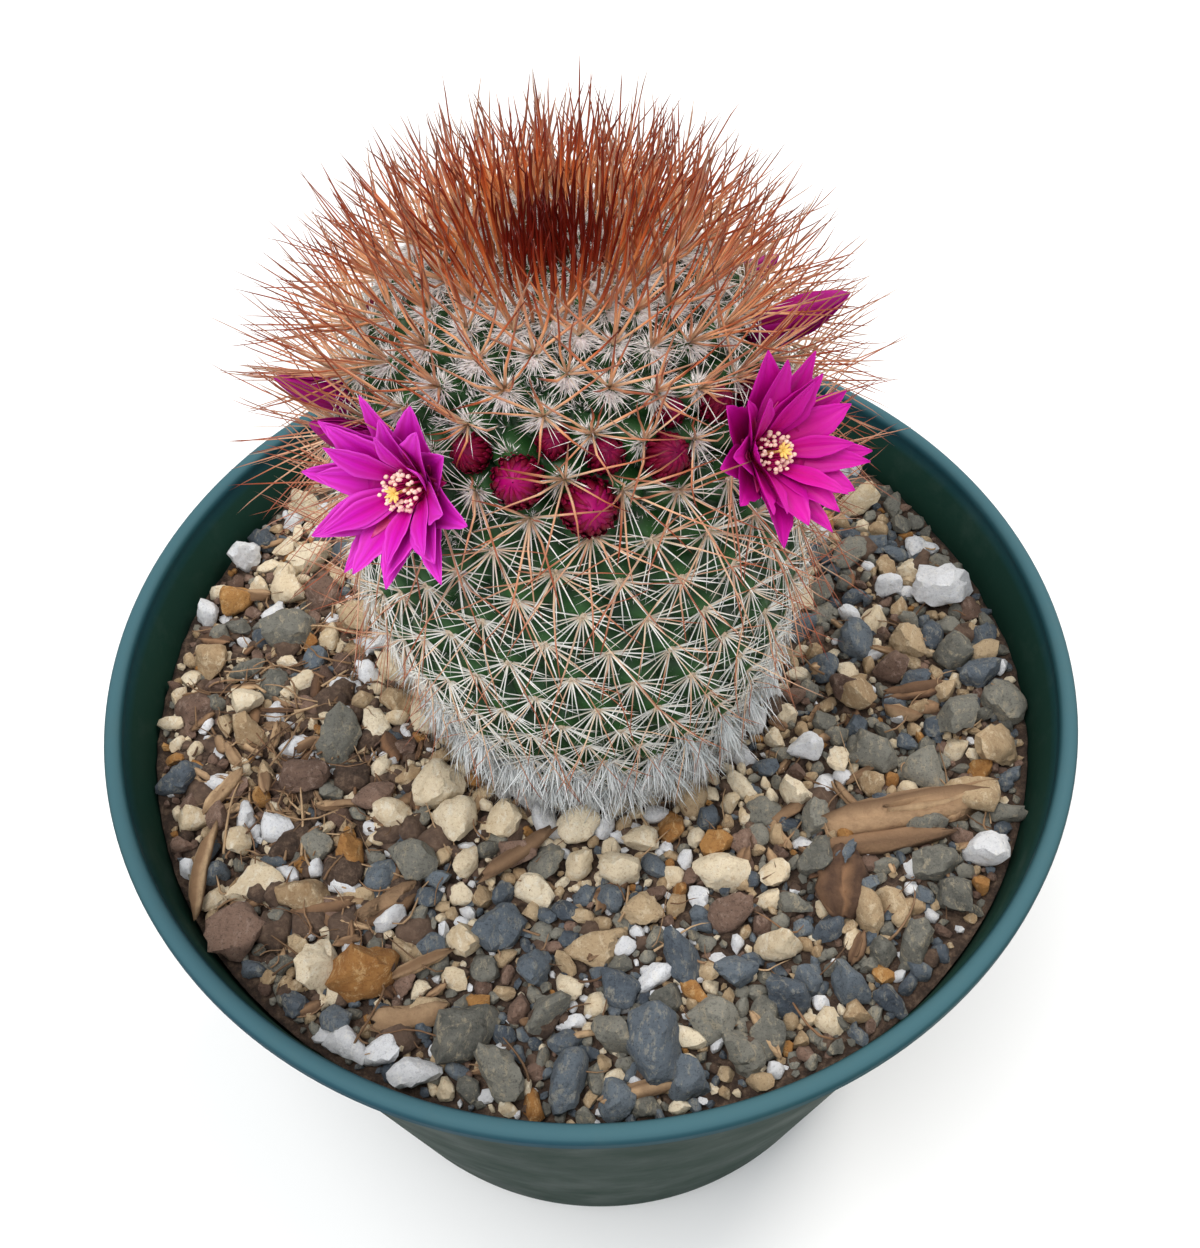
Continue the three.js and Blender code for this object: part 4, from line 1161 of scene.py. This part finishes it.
def build_round_bud(name, bloom, seed):
    """A closed bud: rings of narrow scales that curve in over a magenta core."""
    rng = np.random.default_rng(seed)
    pile = Pile()
    width = bloom["width"]
    length = width * BUD_LENGTH
    # The core shows more at the top of the large buds, which are the next to open
    bright = 0.8 if width > 6 else 0.25
    core, core_faces = ball(9, 14)
    core = core * [width * 0.43, width * 0.43, length * 0.47] + [0, 0, length * 0.5 + 0.2]
    top = smoothstep(core[:, 2], length * 0.78, length * 0.97) * bright
    pile.add(core, core_faces, along=0.25, edge=0, vein=0, core=top)
    rings = 6
    highest = 0.985
    t = np.linspace(0, 1, 6)
    outline = blade_outline(t, point=0.5)
    for ring in range(rings):
        count = 19 if ring < 4 else 12
        size = width * (0.125 if ring < 4 else 0.15)
        low = 0.06 + 0.13 * ring
        high = min(low + 0.34 + rng.uniform(0, 0.05), highest)
        top = smoothstep(ring, 4.0, 5.6) * bright
        for i in range(count):
            azimuth = 360 * (i + 0.5 * (ring % 2)) / count + rng.normal(0, 5)
            share = np.linspace(low, min(high * rng.uniform(0.9, 1.06), highest), len(t))
            swell = 0.97 + 0.02 * (rings - ring) + (0.04 + rng.uniform(0, 0.09)) * t**2
            radius = width * 0.45 * np.sin(np.pi * np.clip(share, 0, 1)) ** 0.62 * swell
            path = np.stack([radius, 0.2 + length * share], 1)
            twist = rng.normal(0, 0.15)
            add_blade(pile, path, size, 0.15, azimuth, 0.35, outline, twist, columns=3, core=top)
    pile.piece(name + "_scales", MATERIALS["bud"], "bud_scales", name, bloom)


def build_pointed_bud(name, bloom, seed):
    """A long bud about to open: magenta petals wrapped round each other, the outer ones shorter."""
    rng = np.random.default_rng(seed)
    pile = Pile()
    width, length = bloom["width"], bloom["length"]
    t = np.linspace(0, 1, 12)
    outline = blade_outline(t, point=0.5)
    # Number of petals of each ring, and where along the bud they start and end
    rings = [(6, 0.02, 0.50), (6, 0.10, 0.74), (6, 0.2, 0.97), (5, 0.32, 1.0)]
    for ring, (count, low, high) in enumerate(rings):
        size = width * (0.62 if ring > 1 else 0.5)
        share = np.linspace(low, high, len(t))
        radius = width * 0.5 * np.sin(np.pi * np.clip(share, 0.02, 0.995) ** 0.72) ** 0.8
        radius = radius * (1.0 - 0.05 * ring) + 0.10 * (3 - ring) * t**3
        path = np.stack([radius, 0.3 + length * share], 1)
        for i in range(count):
            azimuth = 360 * (i + 0.5 * (ring % 2)) / count + rng.normal(0, 4)
            add_blade(pile, path, size, 0.16, azimuth, 0.05, outline, 0.18, columns=5, pale=0)
    # The folded buds take the darker copy of the petal material, which is painted shade.
    pile.piece(name + "_wrapped", MATERIALS["folded"], "petal", name, bloom)


# Soil and grit

def inner_radius(z):
    return MOUTH_RADIUS - WALL_TAPER * (POT_HEIGHT - z)


def ground(x, y):
    """Height of the soil between the stones: low waves."""
    wave = 0.5 * np.sin(x * 0.11 + 1.0) * np.cos(y * 0.13)
    ripple = 0.35 * np.sin(x * 0.31) * np.sin(y * 0.27 + 0.6)
    return SOIL_TOP - 0.3 + wave + ripple


def from_stem(x, y):
    """Distance of a place on the soil from the middle of the stem's foot."""
    return np.hypot(x - STEM_FOOT[0], y - STEM_FOOT[1])


def anywhere(rng):
    """A place on the soil, drawn evenly."""
    angle = rng.uniform(0, 2 * math.pi)
    radius = LITTER_LIMIT * math.sqrt(rng.random())
    return radius * math.cos(angle), radius * math.sin(angle)


# How far from the pot's middle crumbs, bark and fibres lie at most
LITTER_LIMIT = inner_radius(SOIL_TOP) - 1.5


def build_bed():
    """The soil itself, with a crumbly top and a well for the stem's root."""
    rng = np.random.default_rng(61)
    rings, columns = 56, 200
    outer = inner_radius(SOIL_TOP) - 0.35
    radius = np.linspace(STEM_FOOT_RADIUS - 4.0, outer, rings)
    angle = 2 * np.pi * np.arange(columns) / columns
    # The rings round the stem are centred on it, and those at the wall on the pot
    pull = (1 - (radius - radius[0]) / (outer - radius[0]))[:, None]
    x = radius[:, None] * np.cos(angle) + STEM_FOOT[0] * pull
    y = radius[:, None] * np.sin(angle) + STEM_FOOT[1] * pull
    z = ground(x, y) + rng.normal(0, 0.28, x.shape)
    top = np.stack([x, y, z], -1).reshape(-1, 3)
    bottom = POT_FLOOR + FIT_GAP
    well_floor = SOIL_TOP - ROOT_DEPTH - 1.5
    well = top[:columns] * [1, 1, 0] + [0, 0, well_floor]
    foot = turned_profile([(inner_radius(bottom) - FIT_GAP, bottom)], columns)
    points = np.concatenate([well, top, foot, [[0, 0, bottom], [*STEM_FOOT, well_floor]]])
    rows = rings + 2
    size = rows * columns
    below = cap_faces(size - columns, columns, size)
    faces = [grid_faces(rows, columns)[:, ::-1], below, cap_faces(0, columns, size + 1)[:, ::-1]]
    tint = np.zeros(len(points))
    add_piece("soil_bed", points, np.concatenate(faces), peat_material(), "gritty_soil", ["soil"], tint=tint)


def icosphere(levels):
    """Points and faces of a unit icosphere."""
    golden = (1 + 5**0.5) / 2
    points = [(-1, golden, 0), (1, golden, 0), (-1, -golden, 0), (1, -golden, 0)]
    points += [(0, -1, golden), (0, 1, golden), (0, -1, -golden), (0, 1, -golden)]
    points += [(golden, 0, -1), (golden, 0, 1), (-golden, 0, -1), (-golden, 0, 1)]
    faces = [(0, 11, 5), (0, 5, 1), (0, 1, 7), (0, 7, 10), (0, 10, 11), (1, 5, 9), (5, 11, 4), (11, 10, 2)]
    faces += [(10, 7, 6), (7, 1, 8), (3, 9, 4), (3, 4, 2), (3, 2, 6), (3, 6, 8), (3, 8, 9), (4, 9, 5)]
    faces += [(2, 4, 11), (6, 2, 10), (8, 6, 7), (9, 8, 1)]
    points = [np.array(p, float) for p in points]
    for _ in range(levels):
        middles = {}

        def middle(a, b):
            key = (min(a, b), max(a, b))
            if key not in middles:
                middles[key] = len(points)
                points.append((points[a] + points[b]) / 2)
            return middles[key]

        split = []
        for a, b, c in faces:
            ab, bc, ca = middle(a, b), middle(b, c), middle(c, a)
            split += [(a, ab, ca), (b, bc, ab), (c, ca, bc), (ab, bc, ca)]
        faces = split
    return unit(np.array(points)), np.array(faces)


def stone_points(rng, directions, sharpness, planes):
    """A stone as a rough crystal: the p-norm of cuts by random planes, its faces uneven."""
    normals = unit(rng.normal(0, 1, (planes, 3)))
    depths = rng.uniform(0.62, 1.0, planes)
    cut = np.maximum(0, directions @ normals.T / depths)
    radius = (np.sum(cut**sharpness, 1) + 1e-3) ** (-1 / sharpness)
    waves = directions @ rng.normal(0, 1.6, (3, 4)) * 2
    rough = 0.035 * np.sin(waves * 2.0).sum(1) + rng.normal(0, 0.022, len(directions))
    return directions * (np.minimum(radius, 1.3) * (1 + rough))[:, None]


# Each kind of stone: sharpness, planes, then its dark, light, stain and speckle colours
STONE_KINDS = {
    "slate": (22, 12, (0.034, 0.046, 0.066), (0.155, 0.185, 0.21), (0.33, 0.31, 0.25), (0.02, 0.026, 0.038)),
    "grey": (18, 12, (0.09, 0.09, 0.076), (0.28, 0.265, 0.215), (0.44, 0.37, 0.25), (0.050, 0.052, 0.048)),
    "tan": (11, 13, (0.34, 0.21, 0.10), (0.60, 0.44, 0.26), (0.74, 0.60, 0.40), (0.26, 0.15, 0.07)),
    "cream": (9, 14, (0.68, 0.51, 0.30), (0.92, 0.79, 0.57), (0.92, 0.84, 0.68), (0.52, 0.34, 0.17)),
    "white": (9, 14, (0.70, 0.69, 0.68), (0.92, 0.92, 0.92), (0.94, 0.91, 0.85), (0.50, 0.50, 0.52)),
    "orange": (12, 12, (0.28, 0.105, 0.02), (0.52, 0.26, 0.075), (0.64, 0.42, 0.19), (0.20, 0.07, 0.015)),
    "brown": (9, 12, (0.085, 0.045, 0.030), (0.27, 0.165, 0.115), (0.36, 0.25, 0.19), (0.035, 0.018, 0.012)),
}
# Makes all of these colours a little darker and cooler
STONE_SHADE = (0.93, 0.94, 0.97)


def soil_point(pixel):
    """Where a pixel of the photograph meets the tops of the stones."""
    across, down = (np.array(pixel) - np.array(PHOTO_SIZE) / 2) / FOCAL_PIXELS
    ray = CAMERA_RIGHT * across - CAMERA_UP * down - CAMERA_BACK
    step = (SOIL_TOP + 2 - CAMERA_PLACE[2]) / ray[2]
    return (CAMERA_PLACE + ray * step)[:2]


# Stones that stand out in the photograph: kind, pixel, and half width in millimetres before it is scaled
STONE_SCALE = 0.88
NOTED_STONES = [
    ("slate", (650, 1045), 5.6), ("slate", (790, 992), 4.2), ("grey", (465, 1035), 5.2),
    ("grey", (500, 1068), 4.6), ("slate", (532, 965), 3.6), ("grey", (715, 1018), 4.0),
    ("grey", (745, 1052), 3.8), ("slate", (688, 1078), 3.4), ("white", (343, 1040), 3.6),
    ("white", (376, 1050), 3.0), ("white", (412, 1070), 4.0), ("white", (278, 828), 3.9),
    ("cream", (432, 792), 5.2), ("cream", (395, 815), 3.6), ("cream", (458, 818), 5.4),
    ("cream", (720, 868), 4.6), ("cream", (778, 868), 3.2), ("cream", (780, 945), 4.0),
    ("cream", (502, 816), 3.4), ("white", (545, 822), 3.4), ("cream", (575, 828), 3.6),
    ("cream", (645, 835), 3.2), ("cream", (580, 862), 3.8), ("cream", (795, 795), 3.4),
    ("orange", (362, 975), 5.0), ("orange", (672, 826), 3.0), ("orange", (350, 848), 4.0),
    ("cream", (322, 968), 4.2), ("cream", (246, 700), 4.0), ("white", (228, 548), 3.6),
    ("grey", (338, 738), 4.8), ("slate", (180, 775), 4.2), ("white", (194, 608), 3.2),
    ("cream", (232, 835), 3.2), ("grey", (955, 893), 4.6), ("white", (985, 845), 4.6),
    ("grey", (935, 862), 4.0), ("tan", (905, 640), 4.2), ("white", (888, 582), 3.4),
    ("grey", (290, 625), 4.8), ("tan", (1000, 745), 4.4), ("grey", (958, 712), 4.6),
    ("slate", (735, 970), 3.6), ("grey", (770, 1040), 3.6), ("tan", (690, 790), 4.0),
    ("brown", (300, 775), 4.4), ("brown", (240, 930), 4.8), ("grey", (915, 940), 3.8),
    ("slate", (565, 1085), 4.0), ("grey", (610, 1030), 3.8), ("grey", (548, 1010), 3.4),
    ("tan", (855, 695), 4.4), ("slate", (855, 640), 4.2), ("brown", (850, 690), 3.6),
    ("white", (935, 590), 5.6), ("grey", (1000, 698), 4.0),
]
# The other stones, big ones first: half width from and to, number, how close they lie, how high they sit
STONE_SIZES = [
    (2.6, 3.9, 100, 0.80, 0.45),
    (1.9, 2.6, 420, 0.74, 0.4),
    (1.2, 1.9, 1200, 0.68, 0.4),
    (0.6, 1.2, 3000, 0.6, 0.5),
]


def kind_chances(x, y):
    """How likely each kind of stone is at a place: pale ones near the stem, slate in front and right."""
    near = 1 - smoothstep(from_stem(x, y), 26, 40)
    front = smoothstep(-y, 22, 55)
    right = smoothstep(x, 5, 45)
    left = smoothstep(-x, 18, 50)
    chances = {
        "slate": 0.14 + 0.75 * front + 0.60 * right,
        "grey": 0.30 + 0.65 * front + 0.85 * right,
        "tan": 0.45 + 0.6 * near + 0.35 * right + 0.25 * left,
        "cream": 0.48 + 2.4 * near + 0.40 * left - 0.25 * right,
        "white": 0.42 + 0.70 * near + 0.1 * left - 0.15 * right,
        "orange": 0.12 + 0.08 * left,
        "brown": 0.18 + 0.35 * left + 0.3 * right,
    }
    weights = np.array(list(chances.values()))
    return list(chances), weights / weights.sum()


def scatter_stones(rng):
    """Chooses kinds, places and sizes of stones, big ones first, none deep in another."""
    stones = []
    most = len(NOTED_STONES) + sum(number for _, _, number, _, _ in STONE_SIZES)
    taken = np.zeros((3, most))
    limit = inner_radius(SOIL_TOP) - 0.8

    def add(kind, x, y, size, lift):
        taken[:, len(stones)] = x, y, size
        stones.append((kind, x, y, size, lift))

    for kind, pixel, size in NOTED_STONES:
        size = size * STONE_SCALE
        x, y = soil_point(pixel)
        distance = math.hypot(x, y)
        if distance > limit - size * 0.8:
            x, y = np.array([x, y]) * (limit - size * 0.8) / distance
        add(kind, x, y, size, 0.55)
    for low, high, number, gap, lift in STONE_SIZES:
        made = 0
        # Most tries find no room, so there are more of them than stones
        for _ in range(number * 8):
            size = rng.uniform(low, high)
            radius = limit * math.sqrt(rng.random())
            angle = rng.uniform(0, 2 * math.pi)
            x, y = radius * math.cos(angle), radius * math.sin(angle)
            xs, ys, sizes = taken[:, : len(stones)]
            beyond = radius + size * 0.9 > limit or from_stem(x, y) - size * 0.7 < STEM_FOOT_RADIUS - 1.5
            if beyond or (np.hypot(xs - x, ys - y) < gap * (sizes + size)).any():
                continue
            names, weights = kind_chances(x, y)
            bare = 0.3 * smoothstep(-x, 12, 45) * smoothstep(-y, -40, -5)
            if rng.random() > bare:
                add(names[rng.choice(len(names), p=weights)], x, y, size, lift)
            made += 1
            if made == number:
                break
    return stones


def build_grit():
    """The loose stones, in one piece for each kind."""
    rng = np.random.default_rng(71)
    shapes = [icosphere(level) for level in (0, 1, 2)]
    piles = {kind: Pile() for kind in STONE_KINDS}
    for kind, x, y, size, lift in scatter_stones(rng):
        sharpness, planes = STONE_KINDS[kind][:2]
        base, faces = shapes[2 if size > 2.15 else 1 if size > 1.0 else 0]
        points = stone_points(rng, base, sharpness, planes)
        stretch = [rng.uniform(0.95, 1.2), rng.uniform(0.7, 0.95), rng.uniform(0.62, 0.9)]
        points = turned_about(points * size * stretch, rng.uniform(0, 360))
        points = tilted(points, rng, 0.4, 0.4)
        points = points + [x, y, ground(x, y) + size * (lift + rng.uniform(-0.15, 0.15))]
        piles[kind].add(points, faces, tint=rng.random())
    for kind, pile in piles.items():
        material = stone_material("stone_" + kind, *STONE_KINDS[kind][2:])
        stones = pile.piece("grit_" + kind, material, "gritty_soil", "soil")
        stones.data.set_sharp_from_angle(angle=math.radians(38))


def build_crumbs():
    """Loose crumbs and clods of dark peat between the stones, most of them on the left."""
    rng = np.random.default_rng(97)
    coarse, fine = icosphere(0), icosphere(1)
    pile = Pile()
    for i in range(1500):
        if rng.random() < 0.5:
            x, y = rng.normal(-46, 13), rng.normal(-12, 24)
        else:
            x, y = anywhere(rng)
        size = rng.uniform(1.6, 3.2) if i < 90 else rng.uniform(0.5, 1.5)
        if math.hypot(x, y) + size > LITTER_LIMIT or from_stem(x, y) - size < STEM_FOOT_RADIUS - 1:
            continue
        shape, faces = fine if size > 1.3 else coarse
        lumps = 1 + rng.normal(0, 0.16, len(shape))
        points = shape * lumps[:, None] * [size, size * rng.uniform(0.6, 1), size * rng.uniform(0.5, 0.8)]
        points = turned_about(points, rng.uniform(0, 360))
        points = points + [x, y, ground(x, y) + size * rng.uniform(0.1, 0.6)]
        pile.add(points, faces, tint=rng.random())
    pile.piece("peat_crumbs", peat_material(), "gritty_soil", "soil")


def add_chip(pile, rng, place, heading, length, width, thickness, tint, tilt):
    """A splinter of wood or bark: a ragged, ridged slab whose grain runs along it."""
    rows, columns = 7, 6
    t = np.linspace(-1, 1, rows)
    across = np.linspace(-1, 1, columns)
    ends = rng.uniform(0.72, 1.0, columns)
    outline = (1 - 0.55 * np.abs(t) ** 3) * rng.uniform(0.85, 1.1, rows)
    ridges = rng.normal(0, 0.16 * width, columns) - 0.25 * width * across**2
    grid = np.zeros((rows, columns, 3))
    grid[..., 0] = t[:, None] * ends[None] * length / 2
    grid[..., 1] = across[None] * outline[:, None] * width / 2
    grid[..., 2] = ridges[None] + rng.normal(0, 0.05 * width, (rows, columns))
    grid[..., 1] += 0.08 * length * np.sin(t * 1.3 + rng.uniform(0, 6))[:, None] * rng.uniform(-1, 1)
    points, faces = thick_sheet(grid, thickness)
    points = turned_about(tilted(points, rng, tilt, tilt * 0.6), heading) + place
    pile.add(points, faces, tint=tint, grain=across_sheet(rng.random(columns), rows))


# Bits of wood that stand out in the photograph: pixel, heading, length, width, thickness, tint, height
NOTED_CHIPS = [
    ((905, 812), 4, 33, 6.5, 2.2, 0.45, 3.6), ((880, 838), 2, 26, 3.6, 1.8, 0.25, 3.4),
    ((940, 796), 9, 20, 3.0, 1.4, 0.95, 4.6), ((846, 882), 78, 12, 7.5, 3.0, 0.05, 3.8),
    ((208, 872), 86, 17, 2.2, 1.6, 0.85, 4.2), ((222, 790), 62, 10, 2.6, 1.2, 0.9, 4.0),
    ((408, 1012), 12, 12, 4.0, 1.2, 0.8, 4.0), ((420, 965), 24, 11, 1.8, 1.2, 0.7, 3.6),
    ((516, 852), 42, 16, 2.0, 1.4, 0.35, 4.4), ((385, 905), 30, 12, 4.2, 1.4, 0.5, 3.4),
    ((322, 905), 12, 10, 3.0, 1.2, 0.15, 3.2), ((915, 688), 12, 13, 3.0, 1.4, 0.1, 3.6),
    ((765, 1035), 118, 9, 1.4, 1.0, 0.7, 3.8), ((640, 1092), 8, 12, 2.2, 1.2, 0.6, 3.0),
]


def build_bark():
    """Chips of bark and wood on the soil, most of them on the left and the right."""
    rng = np.random.default_rng(83)
    chips = Pile()
    for pixel, heading, length, width, thickness, tint, height in NOTED_CHIPS:
        x, y = soil_point(pixel)
        place = [x, y, SOIL_TOP + height - 1.6]
        add_chip(chips, rng, place, heading, length, width, thickness, tint, 0.05)
    for _ in range(190):
        if rng.random() < 0.55:
            x, y = rng.normal(-45, 13), rng.normal(-14, 24)
        elif rng.random() < 0.5:
            x, y = rng.normal(42, 12), rng.normal(-14, 14)
        else:
            x, y = anywhere(rng)
        length = rng.uniform(2.2, 7.0)
        if math.hypot(x, y) + length / 2 > LITTER_LIMIT or from_stem(x, y) - length / 2 < STEM_FOOT_RADIUS:
            continue
        place = [x, y, ground(x, y) + rng.uniform(0.6, 2.4)]
        width = length * rng.uniform(0.15, 0.5)
        heading = rng.uniform(0, 360)
        thickness = rng.uniform(0.4, 1.0)
        add_chip(chips, rng, place, heading, length, width, thickness, rng.random(), 0.3)
    chips.piece("bark_chips", bark_material(), "gritty_soil", "soil")


def build_fibres():
    """Coir fibres and fine roots, which lie over the soil in loose curves."""
    rng = np.random.default_rng(89)
    count = 620
    angle = rng.uniform(0, 2 * np.pi, count)
    radius = LITTER_LIMIT * np.sqrt(rng.random(count))
    left = rng.random(count) < 0.5
    x = np.where(left, rng.normal(-45, 13, count), radius * np.cos(angle))
    y = np.where(left, rng.normal(-12, 24, count), radius * np.sin(angle))
    heading = rng.uniform(0, np.pi, count)
    length = 2.5 + 13 * rng.random(count) ** 2.2
    clear = from_stem(x, y) > STEM_FOOT_RADIUS + 2 + length / 2
    inside = (np.hypot(x, y) + length / 2 < LITTER_LIMIT) & clear
    x, y, heading, length = x[inside], y[inside], heading[inside], length[inside]
    count = len(x)
    base = np.stack([x, y, ground(x, y) + rng.uniform(1.0, 3.0, count)], 1)
    half = np.stack([np.cos(heading), np.sin(heading), rng.normal(0, 0.08, count)], 1) * length[:, None] / 2
    bends = rng.normal(0, 0.12, (count, 3)) * length[:, None] * [1, 1, 0.3]
    waves = rng.normal(0, 0.05, (count, 3)) * length[:, None] * [1, 1, 0.3]
    rings = (0.0, 0.17, 0.34, 0.5, 0.67, 0.84)
    thickness = rng.uniform(0.09, 0.26, count)
    points, faces, _ = strands(base - half, base + half, thickness, bends, 4, rings, 0.35, waves)
    add_piece(
        "coir_fibres", points, faces, bark_material(), "gritty_soil", ["soil"],
        tint=on_needles(rng.random(count), 4, rings), grain=on_needles(rng.random(count), 4, rings),
    )


# Pot

def outer_radius(z):
    return inner_radius(z) + WALL


def pot_profile():
    """Profile of [radius, height] up the outside and down inside, and the number of rows before the lip."""
    foot = outer_radius(0)
    foot_inside = foot - FOOT_WIDTH
    under = POT_HEIGHT - RIM_HEIGHT
    outside = [(foot_inside, 0.25), (foot_inside + 0.3, 0.0), (foot - 0.5, 0.0), (foot, 0.5)]
    outside += [(outer_radius(z), z) for z in np.linspace(FOOT_DEPTH, under - 0.6, 14)]
    outside += [(outer_radius(under) + 0.15, under - 0.1)]
    rim = [(RIM_RADIUS - 0.35, under + 0.1), (RIM_RADIUS, under + 0.5)]
    middle = (RIM_RADIUS + MOUTH_RADIUS) / 2
    half = (RIM_RADIUS - MOUTH_RADIUS) / 2
    for angle in np.radians(np.linspace(-20, 200, 14)):
        rim.append((middle + half * np.cos(angle), POT_HEIGHT - 1.35 + 1.35 * np.sin(angle)))
    inside = [(MOUTH_RADIUS - 0.05, under - 0.5)]
    inside += [(inner_radius(z), z) for z in np.linspace(under - 1, POT_FLOOR + 1.5, 14)]
    inside += [(inner_radius(POT_FLOOR) - 1.2, POT_FLOOR), (DRAIN_RADIUS, POT_FLOOR)]
    inside += [(DRAIN_RADIUS, FOOT_DEPTH), (foot_inside - 1, FOOT_DEPTH)]
    return np.array(outside + rim + inside), len(outside)


def build_pot():
    """The pot again with a rounded lip and fine curves, on the profile of the CAD pot."""
    profile, outside = pot_profile()
    under = POT_HEIGHT - RIM_HEIGHT
    columns = 200
    rows = len(profile)
    ring = np.arange(columns)
    following = (ring + 1) % columns
    last = (rows - 1) * columns
    first = np.stack([last + ring, last + following, following], 1)
    second = np.stack([last + ring, following, ring], 1)
    faces = np.concatenate([grid_faces(rows, columns), first, second])
    # Where the rim gets its painted sky reflection
    rim = smoothstep(profile[:, 1], under - 1.2, under + 0.2)
    # A painted highlight along the top of the lip
    lip = 0.7 * smoothstep(profile[:, 1], POT_HEIGHT - 0.9, POT_HEIGHT - 0.2)
    # Painted shade on the outside of the pot below the rim
    shade = 0.8 * (np.arange(rows) < outside)
    pot = add_piece(
        "pot_wall", turned_profile(profile, columns), faces, pot_material(), "pot_plastic", ["pot"],
        rim=np.repeat(rim, columns), lip=np.repeat(lip, columns), shade=np.repeat(shade, columns),
    )
    cut_drain_holes(pot)


def cut_drain_holes(pot):
    for i in range(DRAIN_HOLES):
        angle = 2 * math.pi * i / DRAIN_HOLES
        place = np.array([DRAIN_CIRCLE * math.cos(angle), DRAIN_CIRCLE * math.sin(angle), POT_FLOOR]) * MM
        bpy.ops.mesh.primitive_cylinder_add(
            radius=DRAIN_RADIUS * MM, depth=8 * MM, vertices=28, location=place
        )
        cutter = bpy.context.active_object
        cut = pot.modifiers.new("drain", "BOOLEAN")
        cut.object = cutter
        cut.solver = "EXACT"
        bpy.context.view_layer.objects.active = pot
        bpy.ops.object.modifier_apply(modifier=cut.name)
        bpy.data.objects.remove(cutter)


# Stage

def build_stage():
    mesh = bpy.data.meshes.new("floor")
    size = 4.0
    corners = [(-size, -size, 0), (size, -size, 0), (size, size, 0), (-size, size, 0)]
    mesh.from_pydata(corners, [], [(0, 1, 2, 3)])
    floor = bpy.data.objects.new("floor", mesh)
    bpy.context.scene.collection.objects.link(floor)
    shader = Shader("floor", roughness=0.9)
    shader.colour(shader.ramp(shader.noise(400, 2), (0.4, (0.86, 0.86, 0.86)), (0.6, (0.88, 0.88, 0.88))))
    mesh.materials.append(shader.material)


def put(name, data, place, right, up, back):
    """Puts a light or camera at a place in metres. It looks away from back."""
    thing = bpy.data.objects.new(name, data)
    bpy.context.scene.collection.objects.link(thing)
    matrix = np.eye(4)
    matrix[:3] = np.stack([right, up, back, place], 1)
    thing.matrix_world = Matrix(matrix.tolist())
    return thing


def add_area_light(name, place, target_height, size, power, colour):
    """A round soft light that looks at a point above the middle of the pot."""
    data = bpy.data.lights.new(name, "AREA")
    data.shape = "DISK"
    data.size = size
    data.energy = power
    data.color = colour
    back = unit(np.array(place) - np.array([0, 0, target_height]))
    right = unit(np.cross([0, 0, 1.0], back))
    put(name, data, place, right, np.cross(back, right), back)


def build_lights():
    add_area_light("key", (-0.35, -0.25, 1.2), 0.12, 0.8, 10.5, (1.0, 0.99, 0.97))
    add_area_light("warm", (0.5, 0.6, 0.8), 0.14, 0.5, 6, (1.0, 0.95, 0.88))
    add_area_light("front", (0.1, -1.1, 0.6), 0.12, 0.9, 2.5, (0.95, 0.98, 1.0))
    world = bpy.data.worlds.new("sky")
    bpy.context.scene.world = world
    world.use_nodes = True
    background = world.node_tree.nodes["Background"]
    background.inputs["Color"].default_value = (0.94, 0.97, 1.0, 1)
    background.inputs["Strength"].default_value = 0.7
    bpy.context.scene.view_settings.view_transform = "Standard"


def build_camera():
    data = bpy.data.cameras.new("camera")
    data.sensor_width = SENSOR
    data.lens = FOCAL_PIXELS / max(PHOTO_SIZE) * SENSOR
    data.clip_start = 0.01
    camera = put("camera", data, CAMERA_PLACE * MM, CAMERA_RIGHT, CAMERA_UP, CAMERA_BACK)
    bpy.context.scene.camera = camera


MATERIALS = {
    "petal": petal_material("petal", 0.0),
    # A darker copy of the petal material: painted shade for the folded buds.
    "folded": petal_material("folded_petal_painted_shade", 0.5),
    "sepal": sepal_material(),
    "bud": bud_material(),
    "stamen": stamen_material(),
}

build_camera()
build_pot()
build_bed()
build_grit()
build_crumbs()
build_bark()
build_fibres()
build_skin()
build_felt()
build_radials()
build_centrals()
build_crown_tuft()
build_wool()
build_base_bristles()
for name, bloom in OPEN_FLOWERS.items():
    build_flower(name, bloom)
for seed, (name, bloom) in enumerate(POINTED_BUDS.items()):
    build_pointed_bud(name, bloom, 100 + seed)
for seed, (name, bloom) in enumerate(ROUND_BUDS.items()):
    build_round_bud(name, bloom, 200 + seed)
build_stage()
build_lights()
